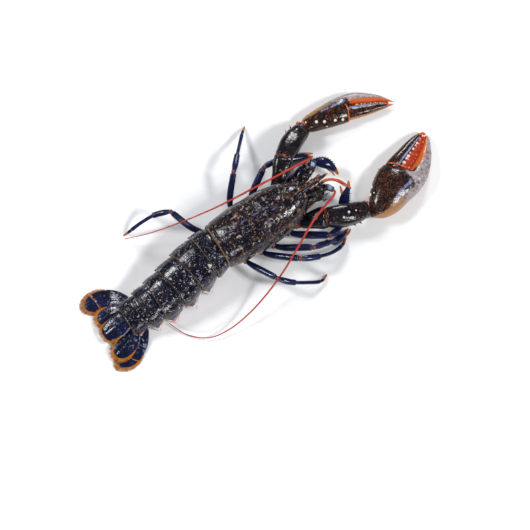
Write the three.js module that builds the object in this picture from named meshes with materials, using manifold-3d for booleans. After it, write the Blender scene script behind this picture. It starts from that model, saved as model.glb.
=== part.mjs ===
// A European lobster at life size, in millimetres, resting on the floor with its claws ahead of it and
// both long antennae swept back. In the animal's own frame x runs forward from the rear edge of the
// carapace, y to its left, and z up from the floor. The last lines move the whole animal so that the
// middle of its box stands over the origin.
import * as THREE from "three";
import { ParametricGeometry } from "three/addons/geometries/ParametricGeometry.js";
import { mergeVertices } from "three/addons/utils/BufferGeometryUtils.js";
import Module from "manifold-3d";

const wasm = await Module();
wasm.setup();

// Driving dimensions
const GAP = 0.35; // between neighbouring pieces
const CARAPACE_LENGTH = 107; // rear edge to eye socket
const ROSTRUM_TIP = 137;
const SEGMENT_EDGES = [0, -17, -40.5, -62.5, -83.5, -100, -120]; // front and rear of each tail segment
const TAIL_SHIFT = -10.5; // how far the tail bends towards the animal's right
const TAIL_BEND = [-5, -85]; // where that bend starts and ends
const TAIL_END = -152;
const EYE = { x: 116, y: 10.4, z: 50, radius: 3.9 };
const SHELL_EDGE = 3; // thickness of a tail segment's side flap
const CLAWS = {
  left: { wrist: [154.7, 67.6], turn: -14, middle: 10.1 },
  right: { wrist: [164, -45.5], turn: 21.5, middle: 14 },
};

// Finishes: colour, roughness
const FINISH = {
  shell: [0x171a2b, 0.38],
  tail: [0x151829, 0.36],
  leg: [0x1a2142, 0.35],
  claw: [0x2b2426, 0.34],
  feeler: [0xb3281c, 0.42],
  eye: [0x050507, 0.12],
  belly: [0xa58a78, 0.5],
  fan: [0x18204a, 0.4],
};

// Small helpers
const radians = (degrees) => (degrees * Math.PI) / 180;
const mix = (a, b, t) => a + (b - a) * t;
const clamp01 = (t) => Math.min(1, Math.max(0, t));
const smooth = (t) => clamp01(t) ** 2 * (3 - 2 * clamp01(t));
const bulge = (c, power) => Math.sign(c) * Math.abs(c) ** power;

// The values of a table at station s. Each row is [station, value, value, ...], and smooth cubic pieces
// join one row to the next.
function along(rows, s) {
  const last = rows.length - 1;
  let i = 0;
  while (i < last - 1 && s > rows[i + 1][0]) i += 1;
  const [a, b] = [rows[i], rows[i + 1]];
  const t = clamp01((s - a[0]) / (b[0] - a[0]));
  return a.slice(1).map((_, k) => {
    const slope = (p, q) => (q[k + 1] - p[k + 1]) / (q[0] - p[0]);
    const inner = slope(a, b);
    const start = i > 0 ? (slope(rows[i - 1], a) + inner) / 2 : inner;
    const end = i < last - 1 ? (inner + slope(b, rows[i + 2])) / 2 : inner;
    const span = b[0] - a[0];
    const h = [2 * t ** 3 - 3 * t * t + 1, t ** 3 - 2 * t * t + t, 3 * t * t - 2 * t ** 3, t ** 3 - t * t];
    return h[0] * a[k + 1] + h[1] * span * start + h[2] * b[k + 1] + h[3] * span * end;
  });
}

// A closed solid from ring(t, a), with t from end to end and a once round. Each end closes on the line
// midway between the points a and 1 - a, so that a hollow-sided section closes without folding over.
function skin(ring, steps, sides) {
  const rows = steps + 2;
  const point = (u, v, target) => {
    const row = Math.round(v * rows);
    const t = clamp01((row - 1) / steps);
    const p = ring(t, u % 1);
    if (row > 0 && row < rows) return target.set(...p);
    const q = ring(t, (1 - u) % 1);
    return target.set(...p.map((c, k) => (c + q[k]) / 2));
  };
  return manifold(new ParametricGeometry(point, sides, rows));
}

// A manifold solid from a closed three.js geometry, with its faces out.
function manifold(geometry) {
  const bare = geometry.clone().deleteAttribute("normal").deleteAttribute("uv");
  const merged = mergeVertices(bare, 1e-3);
  const vertProperties = merged.attributes.position.array;
  const [corners, kept] = [merged.index.array, []];
  for (let i = 0; i < corners.length; i += 3) {
    const [a, b, c] = [corners[i], corners[i + 1], corners[i + 2]];
    if (a !== b && b !== c && c !== a) kept.push(a, b, c);
  }
  const build = (order) =>
    new wasm.Manifold(new wasm.Mesh({ numProp: 3, vertProperties, triVerts: new Uint32Array(order) }));
  const solid = build(kept);
  return solid.volume() < 0 ? build(kept.reverse()) : solid;
}

const curveThrough = (points) =>
  new THREE.CatmullRomCurve3(points.map((p) => new THREE.Vector3(...p)), false, "centripetal");

// How far a rounded end has opened, at a share of the length from that end.
const cap = (share, edge) => (share >= edge ? 1 : Math.sqrt(1 - (1 - share / edge) ** 2));

// A limb, feeler or plate: an oval section carried along a curve, with rounded ends. half is a table of
// [share of the length, half width, half height], and round is how long each end's cap is, as a share.
function limb({ path, half, sides = 10, steps = 8, square = 1, round = [0.06, 0.06] }, grow = 0) {
  const curve = curveThrough(path);
  const ring = (t, a) => {
    const centre = curve.getPointAt(t);
    const ahead = curve.getTangentAt(t);
    const side = new THREE.Vector3(0, 0, 1).cross(ahead).normalize();
    const above = ahead.clone().cross(side);
    const ends = Math.max(0.3, cap(t, round[0]) * cap(1 - t, round[1]));
    const [w, h] = along(half, t);
    const turn = 2 * Math.PI * a;
    centre.addScaledVector(ahead, grow * (2 * t - 1));
    centre.addScaledVector(side, -(w * ends + grow) * bulge(Math.cos(turn), square));
    centre.addScaledVector(above, (h * ends + grow) * bulge(Math.sin(turn), square));
    return centre.toArray();
  };
  return skin(ring, steps, sides);
}

// A cone-like spine with a slightly blunt tip, from a base point to a tip.
function spine(base, tip, radius, grow = 0) {
  const [from, to] = [new THREE.Vector3(...base), new THREE.Vector3(...tip)];
  const cone = new THREE.CylinderGeometry(0.3 + grow, radius + grow, from.distanceTo(to) + grow, 5);
  const heading = to.clone().sub(from).normalize();
  const turn = new THREE.Quaternion().setFromUnitVectors(new THREE.Vector3(0, 1, 0), heading);
  return manifold(cone.applyQuaternion(turn).translate(...from.lerp(to, 0.5).toArray()));
}

const join = (solids) => solids.reduce((all, one) => all.add(one));

// Carapace: stations of [x, half width, height of the widest level, top, underside]
const CARAPACE_SHAPE = [
  [0, 25.8, 35, 54.5, 25],
  [12, 27.6, 35, 58, 18.5],
  [40, 29.4, 35, 61.5, 15],
  [68, 28, 35.5, 62, 15],
  [88, 24, 37, 60.5, 17.5],
  [100, 18.5, 39, 58, 22],
  [CARAPACE_LENGTH, 13, 41, 55, 28],
];

function carapace(grow = 0) {
  const ring = (t, a) => {
    const x = mix(-grow, CARAPACE_LENGTH + grow, t);
    const [w, middle, top, under] = along(CARAPACE_SHAPE, clamp01(t) * CARAPACE_LENGTH);
    const turn = 2 * Math.PI * a;
    const [rise, power] = Math.sin(turn) > 0 ? [top - middle, 0.9] : [middle - under, 0.75];
    const across = -(w + grow) * bulge(Math.cos(turn), 0.86);
    return [x, across, middle + (rise + grow) * bulge(Math.sin(turn), power)];
  };
  const beak = {
    path: [[94, 0, 56.5], [112, 0, 57.5], [126, 0, 58.5], [ROSTRUM_TIP, 0, 60.5]],
    half: [[0, 6, 3.5], [0.35, 4, 2.8], [0.7, 2.7, 2], [1, 0.7, 0.7]],
    sides: 6,
    steps: 4,
  };
  const spines = [-1, 1].flatMap((side) => [
    ...[[110, 113.8], [116.5, 120.3], [122.5, 126]].map(([x, tip]) =>
      spine([x, side * 2, 58], [tip, side * 4.9, 59.2], 1.5, grow)),
    spine([101, side * 15, 41], [113, side * 16, 40.5], 2.4, grow),
    spine([98, side * 8, 55.5], [106.5, side * 8.6, 57.6], 1.7, grow),
  ]);
  return join([skin(ring, 11, 20), limb(beak, grow), ...spines]);
}

// Underside of the thorax: a keel between the legs, stations of [x, half width, underside]
const KEEL_TOP = 24;
const KEEL_SHAPE = [
  [4, 9, 15],
  [20, 13, 10.5],
  [60, 12, 9.5],
  [92, 7, 12],
];

function thoraxUnderside(grow = 0) {
  const ring = (t, a) => {
    const x = mix(KEEL_SHAPE[0][0], KEEL_SHAPE.at(-1)[0], t);
    const [w, under] = along(KEEL_SHAPE, x);
    const turn = 2 * Math.PI * a;
    const lean = Math.sin(turn) < 0 ? 0.55 : 1;
    const across = -(w * lean + grow) * bulge(Math.cos(turn), 0.6);
    return [x, across, mix(under - grow, KEEL_TOP, (Math.sin(turn) + 1) / 2)];
  };
  return skin(ring, 5, 8);
}

// Tail: stations of [x, half width, height of the widest level, top, belly], before the tail's bend.
// Each segment's flaps reach down to low, spread by flare, and get shorter along the body by narrow.
const TAIL_SHAPE = [
  [-120, 17.8, 12, 21.5, 6.5],
  [-100, 21, 15.5, 29.5, 7.5],
  [-83.5, 23.6, 18.5, 35.5, 8.5],
  [-62.5, 25.6, 22, 42, 10],
  [-40.5, 26.4, 26, 47.5, 12],
  [-17, 27, 29.5, 51.5, 16],
  [0, 25.5, 32, 51.5, 22],
];
const FLAPS = [
  { low: 15, flare: -1, narrow: 0.6 },
  { low: 4, flare: 0.6, narrow: 0.42 },
  { low: 3, flare: 1.8, narrow: 0.55 },
  { low: 2.6, flare: 2.4, narrow: 0.55 },
  { low: 2.6, flare: 3, narrow: 0.55 },
  { low: 5, flare: 2.2, narrow: 0.6 },
];
const BACK = 0.72; // share of a segment's section that the arched back takes
const bendAt = (x) => TAIL_SHIFT * smooth((TAIL_BEND[0] - x) / (TAIL_BEND[0] - TAIL_BEND[1]));
const headingAt = (x) => Math.atan(bendAt(x + 0.5) - bendAt(x - 0.5));

// A point given along and across the tail, carried onto the bend.
function bent(x, across, z) {
  const heading = headingAt(x);
  return [x - across * Math.sin(heading), bendAt(x) + across * Math.cos(heading), z];
}

// One tail segment: an arched back, a flap down each side, and a belly with a pair of swimmerets.
function tailSegment(index, grow = 0) {
  const [front, rear] = [SEGMENT_EDGES[index] - GAP, SEGMENT_EDGES[index + 1]];
  const { low, flare, narrow } = FLAPS[index];
  const ring = (t, a) => {
    const outer = a <= 0.5;
    const share = outer ? a * 2 : (1 - a) * 2;
    const [reach, side] = [Math.abs(2 * share - 1), share < 0.5 ? -1 : 1];
    const down = clamp01((reach - BACK) / (1 - BACK));
    const place = 0.5 + (t - 0.5) * (1 - narrow * down ** 1.5) + 0.06 * down;
    const x = mix(front + grow, rear - grow, place);
    const [w, middle, top, belly] = along(TAIL_SHAPE, mix(front, rear, place));
    const lip = (1 - smooth(t * 4)) * 0.9; // each segment's front edge tucks in under the one ahead
    const arch = (Math.min(1, reach / BACK) * Math.PI) / 2;
    if (outer) {
      const across = (w - lip + grow) * bulge(Math.sin(arch), 0.85) + flare * down;
      const rise = (top - middle - lip + grow) * bulge(Math.cos(arch), 0.9);
      return bent(x, side * across, middle + rise + (low - middle - grow) * down);
    }
    const across = (w - SHELL_EDGE - grow) * Math.min(1, reach / BACK) + flare * down;
    return bent(x, side * across, mix(belly - grow, low - grow, down));
  };
  const shell = skin(ring, 4, 20);
  if (index > 4) return shell;
  const root = (front + rear) / 2;
  const [, , , belly] = along(TAIL_SHAPE, root);
  const swimmerets = [-1, 1].map((side) => {
    const path = [[0, 8, 1], [-5, 10, -2.5], [-11, 11, -4.5]].map(([back, out, down]) =>
      bent(root + back, side * out, belly + down));
    return limb({ path, half: [[0, 2, 1], [0.6, 4, 0.8], [1, 2, 0.5]], sides: 5, steps: 2 }, grow);
  });
  return join([shell, ...swimmerets]);
}

// Tail fan: a plate along a path of [x, y, z] with half widths, thin and rounded at the far edge
const FAN = {
  telson: {
    path: [[-119, -10, 14], [-132, -10.8, 10.5], [TAIL_END, -12, 7]],
    half: [[0, 11, 3.4], [0.4, 12.2, 2.4], [0.8, 11.4, 1.7], [1, 9.4, 1.2]],
    round: [0.02, 0.16],
  },
  endopod_left: {
    path: [[-114, 2, 9], [-128, 5, 5.4], [-151, 7, 4.2]],
    half: [[0, 3.5, 2.4], [0.35, 9.5, 1.6], [0.75, 12, 1.3], [1, 9.5, 1]],
    round: [0.05, 0.24],
  },
  endopod_right: {
    path: [[-113, -23.6, 9], [-128, -30.6, 5.4], [-154.5, -36.6, 4.2]],
    half: [[0, 3.5, 2.4], [0.35, 10.5, 1.6], [0.75, 13, 1.3], [1, 10, 1]],
    round: [0.05, 0.24],
  },
  exopod_left: {
    path: [[-106, 8, 8], [-118, 17.5, 3], [-134, 25, 1.3], [-155.5, 27.4, 1.2]],
    half: [[0, 4, 2.4], [0.3, 10.5, 1.5], [0.65, 14, 1.25], [1, 10.5, 1.2]],
    round: [0.05, 0.26],
  },
  exopod_right: {
    path: [[-106, -26.6, 8], [-118, -34.5, 3], [-134, -42, 1.3], [-157.5, -45.6, 1.2]],
    half: [[0, 4, 2.4], [0.3, 10, 1.5], [0.65, 13.6, 1.25], [1, 10.5, 1.2]],
    round: [0.05, 0.26],
  },
};

const fanPlate = (name) => (grow = 0) =>
  limb({ ...FAN[name], sides: 8, steps: 6, square: 0.8 }, grow);

// Eyes
const eyeStalk = (side) => (grow = 0) =>
  limb({
    path: [[104, side * 5, 49], [112, side * 7.4, 49.6], [EYE.x, side * EYE.y, EYE.z]],
    half: [[0, 2.2, 2.2], [1, 2.7, 2.7]],
    sides: 6,
    steps: 2,
  }, grow);

function eyeBall(side) {
  return (grow = 0) => manifold(new THREE.SphereGeometry(EYE.radius + grow, 10, 7)
    .translate(EYE.x + 1.2, side * (EYE.y + 0.6), EYE.z + 0.2));
}

// Long antenna: a jointed base with a spined scale over it, and a whip in lengths
const ANTENNA_BASE = {
  left: {
    stem: [[100, 8, 38], [112, 11.5, 41], [121, 14.4, 43], [130, 18, 44.4], [134, 24, 45]],
    scale: [[109, 12.5, 45.5], [116, 17, 48], [122.5, 21.6, 49]],
  },
  right: {
    stem: [[100, -8, 38], [112, -8.5, 41], [122, -6.4, 43], [130.5, -8.4, 43.4], [135.6, -14.6, 42.6]],
    scale: [[110, -11.5, 45], [117.5, -14.8, 47.4], [125.5, -17.6, 47]],
  },
};
const WHIP = {
  left: [
    [134, 25.6, 46],
    [122, 26.7, 48.6],
    [98, 27.4, 52],
    [62, 29.6, 53],
    [22, 33.6, 49.5],
    [-18, 42, 41],
    [-50, 53, 27],
    [-75, 65.5, 13],
  ],
  right: [
    [136.4, -16.8, 42.6],
    [132.6, -19.8, 43.2],
    [118, -24.5, 42.6],
    [100, -31, 41.5],
    [74, -44, 36.5],
    [46, -57.5, 29.5],
    [18, -67.5, 21],
    [-8, -73.6, 13.5],
    [-34, -75.6, 8],
    [-56, -71, 5.2],
    [-74, -54.5, 4],
    [-83, -34.5, 4],
  ],
};
const WHIP_CUTS = { left: [0, 0.33, 0.66, 1], right: [0, 0.3, 0.58, 0.8, 1] };
const WHIP_RADIUS = [1.75, 0.5];

function antennaBase(name) {
  const { stem, scale } = ANTENNA_BASE[name];
  const stemHalf = [[0, 5, 4.6], [0.45, 4.6, 4.2], [0.75, 3.8, 3.6], [1, 2.7, 2.6]];
  const scaleHalf = [[0, 3, 1.2], [0.4, 4, 1.1], [1, 0.8, 0.6]];
  return (grow = 0) => join([
    limb({ path: stem, half: stemHalf, sides: 8, steps: 5 }, grow),
    limb({ path: scale, half: scaleHalf, sides: 6, steps: 4 }, grow),
  ]);
}

function whip(name, index) {
  const curve = curveThrough(WHIP[name]);
  const [from, to] = [WHIP_CUTS[name][index], WHIP_CUTS[name][index + 1]];
  const trim = GAP / 2 / curve.getLength();
  const ends = [from + (index ? trim : 0), to - (to < 1 ? trim : 0)];
  const path = Array.from({ length: 9 }, (_, i) => curve.getPointAt(mix(...ends, i / 8)).toArray());
  const half = [0, 0.5, 1].map((t) => {
    const radius = mix(...WHIP_RADIUS, mix(...ends, t) ** 0.9);
    return [t, radius, radius];
  });
  return (grow = 0) => limb({ path, half, sides: 5, steps: 8, round: [0, 0] }, grow);
}

// Short antennae: each a base under the beak with two short whips, the right thrown forward and the
// left drooping. TWIN is how far the lower whip stands off from the upper: back, out and down.
const ANTENNULE = {
  left: [[104, 3.2, 45], [118, 4.6, 47], [128, 6, 43], [133, 9, 33], [133, 12.5, 24]],
  right: [
    [104, -3.2, 46],
    [120, -4, 49],
    [133, -3, 50],
    [144, -9, 46.5],
    [149.5, -15, 40],
    [153.5, -21.5, 35],
  ],
};
const TWIN = [-1.4, 1.2, -1.8];

function antennule(name) {
  const side = name === "left" ? 1 : -1;
  const upper = ANTENNULE[name];
  const lower = upper.slice(0, -1).map(([x, y, z], i) =>
    i > 2 ? [x + TWIN[0], y + side * TWIN[1], z + TWIN[2]] : [x, y, z]);
  const half = [[0, 2.1, 2.1], [0.3, 1.9, 1.9], [0.5, 1.5, 1.4], [1, 0.7, 0.7]];
  return (grow = 0) => join([
    limb({ path: upper, half, sides: 5, steps: 6 }, grow),
    limb({ path: lower, half, sides: 5, steps: 5 }, grow),
  ]);
}

// Third maxillipeds, the stout jaw legs folded under the head, and the mouthparts between them
const JAW_LEG = [[86, 6, 17], [104, 7, 19.5], [118, 8.4, 25], [126, 8.4, 31], [129, 6, 36]];

const maxilliped = (side) => (grow = 0) =>
  limb({
    path: JAW_LEG.map(([x, y, z]) => [x, side * y, z]),
    half: [[0, 3.4, 3], [0.45, 3.6, 3.2], [0.75, 2.6, 2.4], [1, 1.1, 1]],
    sides: 7,
    steps: 6,
  }, grow);

const mouth = (grow = 0) =>
  limb({
    path: [[93, 0, 21], [106, 0, 27], [113, 0, 35]],
    half: [[0, 6.5, 4.5], [0.5, 8, 5.5], [1, 7, 4]],
    sides: 8,
    steps: 3,
    square: 0.8,
  }, grow);

// Claw arms: base, upper arm and wrist, each a path with half sizes
const ARMS = {
  left: {
    base: { path: [[80, 9, 15], [84, 17, 18], [87, 23, 20.5]], half: [[0, 5.5, 5], [1, 6.2, 6.4]] },
    arm: {
      path: [[88.5, 24, 21.5], [99, 33, 26.5], [114.5, 48.5, 29]],
      half: [[0, 6.6, 6.5], [0.45, 9, 8.6], [0.85, 10.8, 10], [1, 10, 9]],
    },
    wrist: {
      path: [[115, 49, 28], [134, 59.6, 22], [152, 66.4, 14.5]],
      half: [[0, 8.8, 8.4], [0.4, 11.6, 10], [0.8, 10, 8.2], [1, 7.4, 6.6]],
    },
  },
  right: {
    base: { path: [[80, -9, 15], [84, -15.5, 18], [88, -20.5, 20.5]], half: [[0, 5.5, 5], [1, 6.2, 6.4]] },
    arm: {
      path: [[90, -21, 22], [102, -26.8, 27], [117, -32.8, 29.5]],
      half: [[0, 6.4, 6.5], [0.45, 9.4, 8.8], [0.85, 11.8, 10.4], [1, 10.8, 9.4]],
    },
    wrist: {
      path: [[118, -33.2, 29.4], [138, -42, 24.5], [159.6, -46, 17]],
      half: [[0, 9.8, 9.2], [0.4, 12.4, 10.6], [0.8, 10.4, 9], [1, 8.4, 7.6]],
    },
  },
};
const armPiece = (name, piece) => (grow = 0) =>
  limb({ ...ARMS[name][piece], sides: 10, steps: 5, square: 0.86, round: [0.12, 0.12] }, grow);

// Claws: stations of [distance from the wrist, one edge, other edge, half thickness], measured along
// and across the claw's own axis. A palm's other edge and a finger's first edge are the biting ones.
const CLAW_SHAPE = {
  left: {
    palm: [
      [-6, 7.5, -4, 6],
      [3, 11.8, -7, 8.6],
      [22, 17.4, -8.6, 10.5],
      [38, 21, -8.8, 10],
      [44.5, 21.8, -8.7, 9],
      [46.5, 22, -7.8, 8.6],
      [50.5, 22, 8.8, 7.6],
      [52, 22, 9, 7.2],
      [60, 21.2, 7.8, 6.2],
      [74, 16.6, 4.8, 4.8],
      [87, 9.6, 2.4, 3.4],
      [100.5, -2.2, -3, 1],
    ],
    finger: [
      [47.6, 7.8, -6.6, 7],
      [56, 7, -7.8, 6.6],
      [66, 5.2, -8, 5.6],
      [82, 2, -6.8, 3.8],
      [98, -4, -5.2, 1],
    ],
  },
  right: {
    palm: [
      [-9, -9.5, -1.5, 6],
      [-1, -18.5, 3, 10],
      [10, -25, 9.6, 13],
      [29.5, -28.8, 16.4, 14.4],
      [42, -31, 17.2, 13.8],
      [47, -31.4, 15.2, 13],
      [52, -31.4, 6.8, 12],
      [57, -31, -7.4, 10.6],
      [61, -30.4, -8.2, 10],
      [73.3, -26, -7.6, 8.4],
      [87, -18, -4.6, 6],
      [102, -2.4, -0.6, 1.4],
    ],
    finger: [
      [46.4, 4, 15.6, 9],
      [56, 0.6, 15.6, 9.2],
      [66, 1.2, 14.3, 8.2],
      [82, 2.2, 12.5, 6],
      [95, 3.6, 9.8, 4],
      [104, 4, 5.4, 1.4],
    ],
  },
};

const CLAW_TIP_HEIGHT = 7; // of the middle of the claw, a hundred millimetres from the wrist

// A point of a claw given along, across and above its middle, which sinks slightly towards the tips.
function inClaw(name, far, across, above) {
  const { wrist, turn, middle } = CLAWS[name];
  const [c, s] = [Math.cos(radians(turn)), Math.sin(radians(turn))];
  const z = mix(middle, CLAW_TIP_HEIGHT, (far / 100) ** 2) + above;
  return [wrist[0] + far * c - across * s, wrist[1] + far * s + across * c, z];
}

// Distances from the wrist to put sections at: every row's, and even steps between rows that are far apart.
const LONGEST_STEP = 10;
function clawSections(rows) {
  return rows.flatMap(([far], i) => {
    if (i === rows.length - 1) return [far];
    const span = rows[i + 1][0] - far;
    const parts = Math.ceil(span / LONGEST_STEP);
    return Array.from({ length: parts }, (_, k) => far + (span * k) / parts);
  });
}

// A claw piece from its stations, without its teeth.
function clawBody(name, piece, sides, grow) {
  const rows = CLAW_SHAPE[name][piece];
  const sections = clawSections(rows);
  const steps = sections.length - 1;
  const ring = (t, a) => {
    const far = sections[Math.round(t * steps)];
    const [edge, other, thick] = along(rows, far);
    const half = Math.abs(edge - other) / 2 + grow;
    const turn = 2 * Math.PI * a;
    const across = (edge + other) / 2 - half * bulge(Math.cos(turn), 0.9);
    return inClaw(name, far + grow * (2 * t - 1), across, (thick + grow) * bulge(Math.sin(turn), 0.9));
  };
  return skin(ring, steps, sides);
}

// Teeth along the biting edges, large and blunt on the crusher, finer on the cutter
const TEETH = {
  left: { count: 5, size: 1, from: 60, to: 90 },
  right: { count: 5, size: 2.3, from: 60, to: 96 },
};
const CLAW_PIECES = {
  palm: { sides: 10, bite: 1, offset: 0 },
  finger: { sides: 8, bite: 0, offset: 0.5 },
};

function clawPiece(name, piece) {
  const { sides, bite, offset } = CLAW_PIECES[piece];
  const { count, size, from, to } = TEETH[name];
  const teeth = Array.from({ length: count }, (_, i) => {
    const far = mix(from, to, (i + offset) / count);
    const across = along(CLAW_SHAPE[name][piece], far)[bite];
    const ball = new THREE.SphereGeometry(size * (1.15 - (0.5 * i) / count), 5, 3);
    return manifold(ball.translate(...inClaw(name, far, across, 0)));
  });
  return (grow = 0) => {
    const body = clawBody(name, piece, sides, grow);
    return grow > 0 ? body : join([body, ...teeth]);
  };
}

// Walking legs: the upper path runs from the body to the knee, the lower path from the knee to the foot.
// A pincer is the second finger of the front two pairs: [start, middle, tip].
const LEGS = {
  left_2: {
    upper: [[66, 11, 15], [84, 20, 9.5], [112, 27.5, 10]],
    lower: [
      [114.5, 27.8, 10.4],
      [126, 28.5, 15.5],
      [139, 26, 22.5],
      [148.5, 19, 22],
      [153, 11, 18.5],
      [154, 3, 15],
    ],
    pincer: [[146, 17, 19.5], [149.2, 10, 18], [150, 4, 15.5]],
    stout: 1.25,
  },
  left_3: {
    upper: [[50, 12, 14], [62.5, 31.5, 19], [88, 48, 30]],
    lower: [[90, 49, 29.5], [104.5, 51.5, 16], [122, 48.4, 6.2], [136, 42.5, 2.9], [145.5, 37.8, -0.2]],
    pincer: [[134, 46, 3.4], [141, 43.6, 2.6], [146.8, 40.4, 1.8]],
    stout: 1,
  },
  left_4: {
    upper: [[34, 12, 14], [38.5, 36, 19], [58.5, 60.5, 32]],
    lower: [[60, 62, 31.5], [72, 75.5, 25.5], [83.5, 88.4, 15], [94, 99.8, 6.2], [101, 106.5, -0.3]],
    stout: 0.95,
  },
  left_5: {
    upper: [[17, 11, 14], [-7, 32, 20], [-19.5, 58.8, 32]],
    lower: [
      [-20.5, 60.8, 31.5],
      [-35.5, 67.6, 25],
      [-52, 70.6, 15.5],
      [-66.5, 71.6, 5.6],
      [-73, 72.8, -0.3],
    ],
    stout: 0.95,
  },
  right_2: {
    upper: [[66, -10, 14], [80, -27, 14.6], [109, -47.4, 15]],
    lower: [
      [111, -47.8, 14.4],
      [121, -46, 9.4],
      [132, -39, 8.2],
      [139, -29.5, 14.5],
      [146, -22, 21.5],
      [153, -17, 26.5],
      [157, -10.8, 29],
    ],
    pincer: [[143.5, -22.5, 20.5], [145.2, -16, 24.4], [146.8, -10.4, 26.6]],
    stout: 1.15,
  },
  right_3: {
    upper: [[50, -12, 14], [55, -28.5, 19], [85, -52.5, 30]],
    lower: [[87, -53.4, 29.5], [103, -54.8, 20], [113, -55.4, 9], [124, -53, 4.2], [133.5, -49, -0.2]],
    pincer: [[120, -55, 6.4], [129, -54.6, 4.2], [135, -51.6, 1.8]],
    stout: 1.05,
  },
  right_4: {
    upper: [[34, -12, 14], [41, -29, 20], [66.5, -55.5, 32]],
    lower: [[68, -57, 31.5], [86, -63, 24], [103, -65, 13.5], [117, -62.4, 5.6], [126, -56.4, -0.3]],
    stout: 1,
  },
  right_5: {
    upper: [[17, -11, 14], [21, -28.5, 20], [35, -59.8, 32]],
    lower: [[36, -61.6, 31.5], [46, -70.5, 25.5], [61, -78, 15.5], [77, -83.2, 5.6], [86.5, -79.5, -0.3]],
    stout: 0.95,
  },
};
const LEG_HALF = {
  upper: [[0, 3.6, 3.4], [0.35, 3.4, 3.2], [0.9, 3.5, 3.3], [1, 3.2, 3]],
  walking: [[0, 3.1, 3], [0.28, 3.2, 3], [0.36, 2.3, 2.3], [0.8, 2, 2], [1, 0.8, 0.8]],
  pincered: [[0, 3.1, 3], [0.3, 3.2, 3], [0.42, 2.8, 2.7], [0.72, 3.4, 3], [0.86, 1.8, 1.6], [1, 0.7, 0.7]],
  pincer: [[0, 1.5, 1.5], [0.5, 1.5, 1.4], [1, 0.6, 0.6]],
};

const scaled = (rows, k) => rows.map(([t, w, h]) => [t, w * k, h * k]);

function legUpper(key) {
  const { upper, stout } = LEGS[key];
  return (grow = 0) => limb({ path: upper, half: scaled(LEG_HALF.upper, stout), sides: 6, steps: 4 }, grow);
}

function legLower(key) {
  const { lower, pincer, stout } = LEGS[key];
  const half = scaled(pincer ? LEG_HALF.pincered : LEG_HALF.walking, stout);
  return (grow = 0) => join([
    limb({ path: lower, half, sides: 6, steps: 9 }, grow),
    ...(pincer ? [limb({ path: pincer, half: LEG_HALF.pincer, sides: 5, steps: 3 }, grow)] : []),
  ]);
}

// The pieces: name, finish, maker, and the neighbours that each is cut back from
const THORAX = ["carapace", "thorax_underside"];

function headPieces(name) {
  const side = name === "left" ? 1 : -1;
  const [eye, stalk, base] = [`eye_${name}`, `eyestalk_${name}`, `antenna_base_${name}`];
  return [
    [stalk, "shell", eyeStalk(side), ["carapace", eye]],
    [eye, "eye", eyeBall(side), ["carapace"]],
    [base, "leg", antennaBase(name), ["carapace", eye, stalk]],
    ...WHIP_CUTS[name].slice(1).map((_, i) =>
      [`antenna_${name}_${i + 1}`, "feeler", whip(name, i), i ? ["carapace"] : ["carapace", base]]),
    [`antennule_${name}`, "feeler", antennule(name), ["carapace", base, stalk]],
    [`maxilliped_${name}`, "leg", maxilliped(side), [...THORAX, base]],
  ];
}

function armPieces(name) {
  const [base, arm, wrist] = [`claw_base_${name}`, `claw_arm_${name}`, `claw_wrist_${name}`];
  return [
    [base, "leg", armPiece(name, "base"), [...THORAX, `maxilliped_${name}`]],
    [arm, "claw", armPiece(name, "arm"), ["carapace", base, `antenna_base_${name}`]],
    [wrist, "claw", armPiece(name, "wrist"), [arm]],
    [`claw_palm_${name}`, "claw", clawPiece(name, "palm"), [wrist]],
    [`claw_finger_${name}`, "claw", clawPiece(name, "finger"), [`claw_palm_${name}`]],
  ];
}

function legPieces(name, number) {
  const [upper, lower] = ["upper", "lower"].map((half) => `leg_${number}_${name}_${half}`);
  const ahead = number > 2 ? [`leg_${number - 1}_${name}_upper`] : [];
  const beside = [...THORAX, `claw_base_${name}`, `maxilliped_${name}`, ...ahead];
  return [
    [upper, "leg", legUpper(`${name}_${number}`), beside],
    [lower, "leg", legLower(`${name}_${number}`), [upper]],
  ];
}

const besideMouth = (name) =>
  ["maxilliped", "antenna_base", "antennule", "eyestalk"].map((piece) => `${piece}_${name}`);

const pieces = [
  ["carapace", "shell", carapace, []],
  ["thorax_underside", "belly", thoraxUnderside, ["carapace"]],
  ...FLAPS.map((_, i) => [`abdomen_${i + 1}`, "tail", (grow) => tailSegment(i, grow), i ? [] : THORAX]),
  ["telson", "fan", fanPlate("telson"), ["abdomen_6"]],
  ...["left", "right"].flatMap((name) => [
    [`endopod_${name}`, "fan", fanPlate(`endopod_${name}`), ["abdomen_6", "telson"]],
    [`exopod_${name}`, "fan", fanPlate(`exopod_${name}`), ["abdomen_6", "telson", `endopod_${name}`]],
    ...headPieces(name),
    ...armPieces(name),
    ...[2, 3, 4, 5].flatMap((number) => legPieces(name, number)),
  ]),
  ["mouthparts", "belly", mouth, [...THORAX, ...besideMouth("left"), ...besideMouth("right")]],
];

// Every piece, cut back from its neighbours and from the floor, as a named mesh
const makers = new Map(pieces.map(([name, , make]) => [name, make]));
const floor = manifold(new THREE.BoxGeometry(700, 400, 60).translate(50, 0, -30));
const lobster = new THREE.Group();

function meshOf(name, finish, solid) {
  const { numProp, vertProperties, triVerts } = solid.getMesh();
  const [colour, roughness] = FINISH[finish];
  const geometry = new THREE.BufferGeometry();
  const positions = Float32Array.from({ length: (vertProperties.length / numProp) * 3 }, (_, i) =>
    vertProperties[Math.floor(i / 3) * numProp + (i % 3)]);
  geometry.setAttribute("position", new THREE.BufferAttribute(positions, 3));
  geometry.setIndex(new THREE.BufferAttribute(triVerts, 1));
  const material = new THREE.MeshStandardMaterial({ color: colour, roughness, metalness: 0 });
  const mesh = new THREE.Mesh(geometry, material);
  mesh.name = name;
  return mesh;
}

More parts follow.
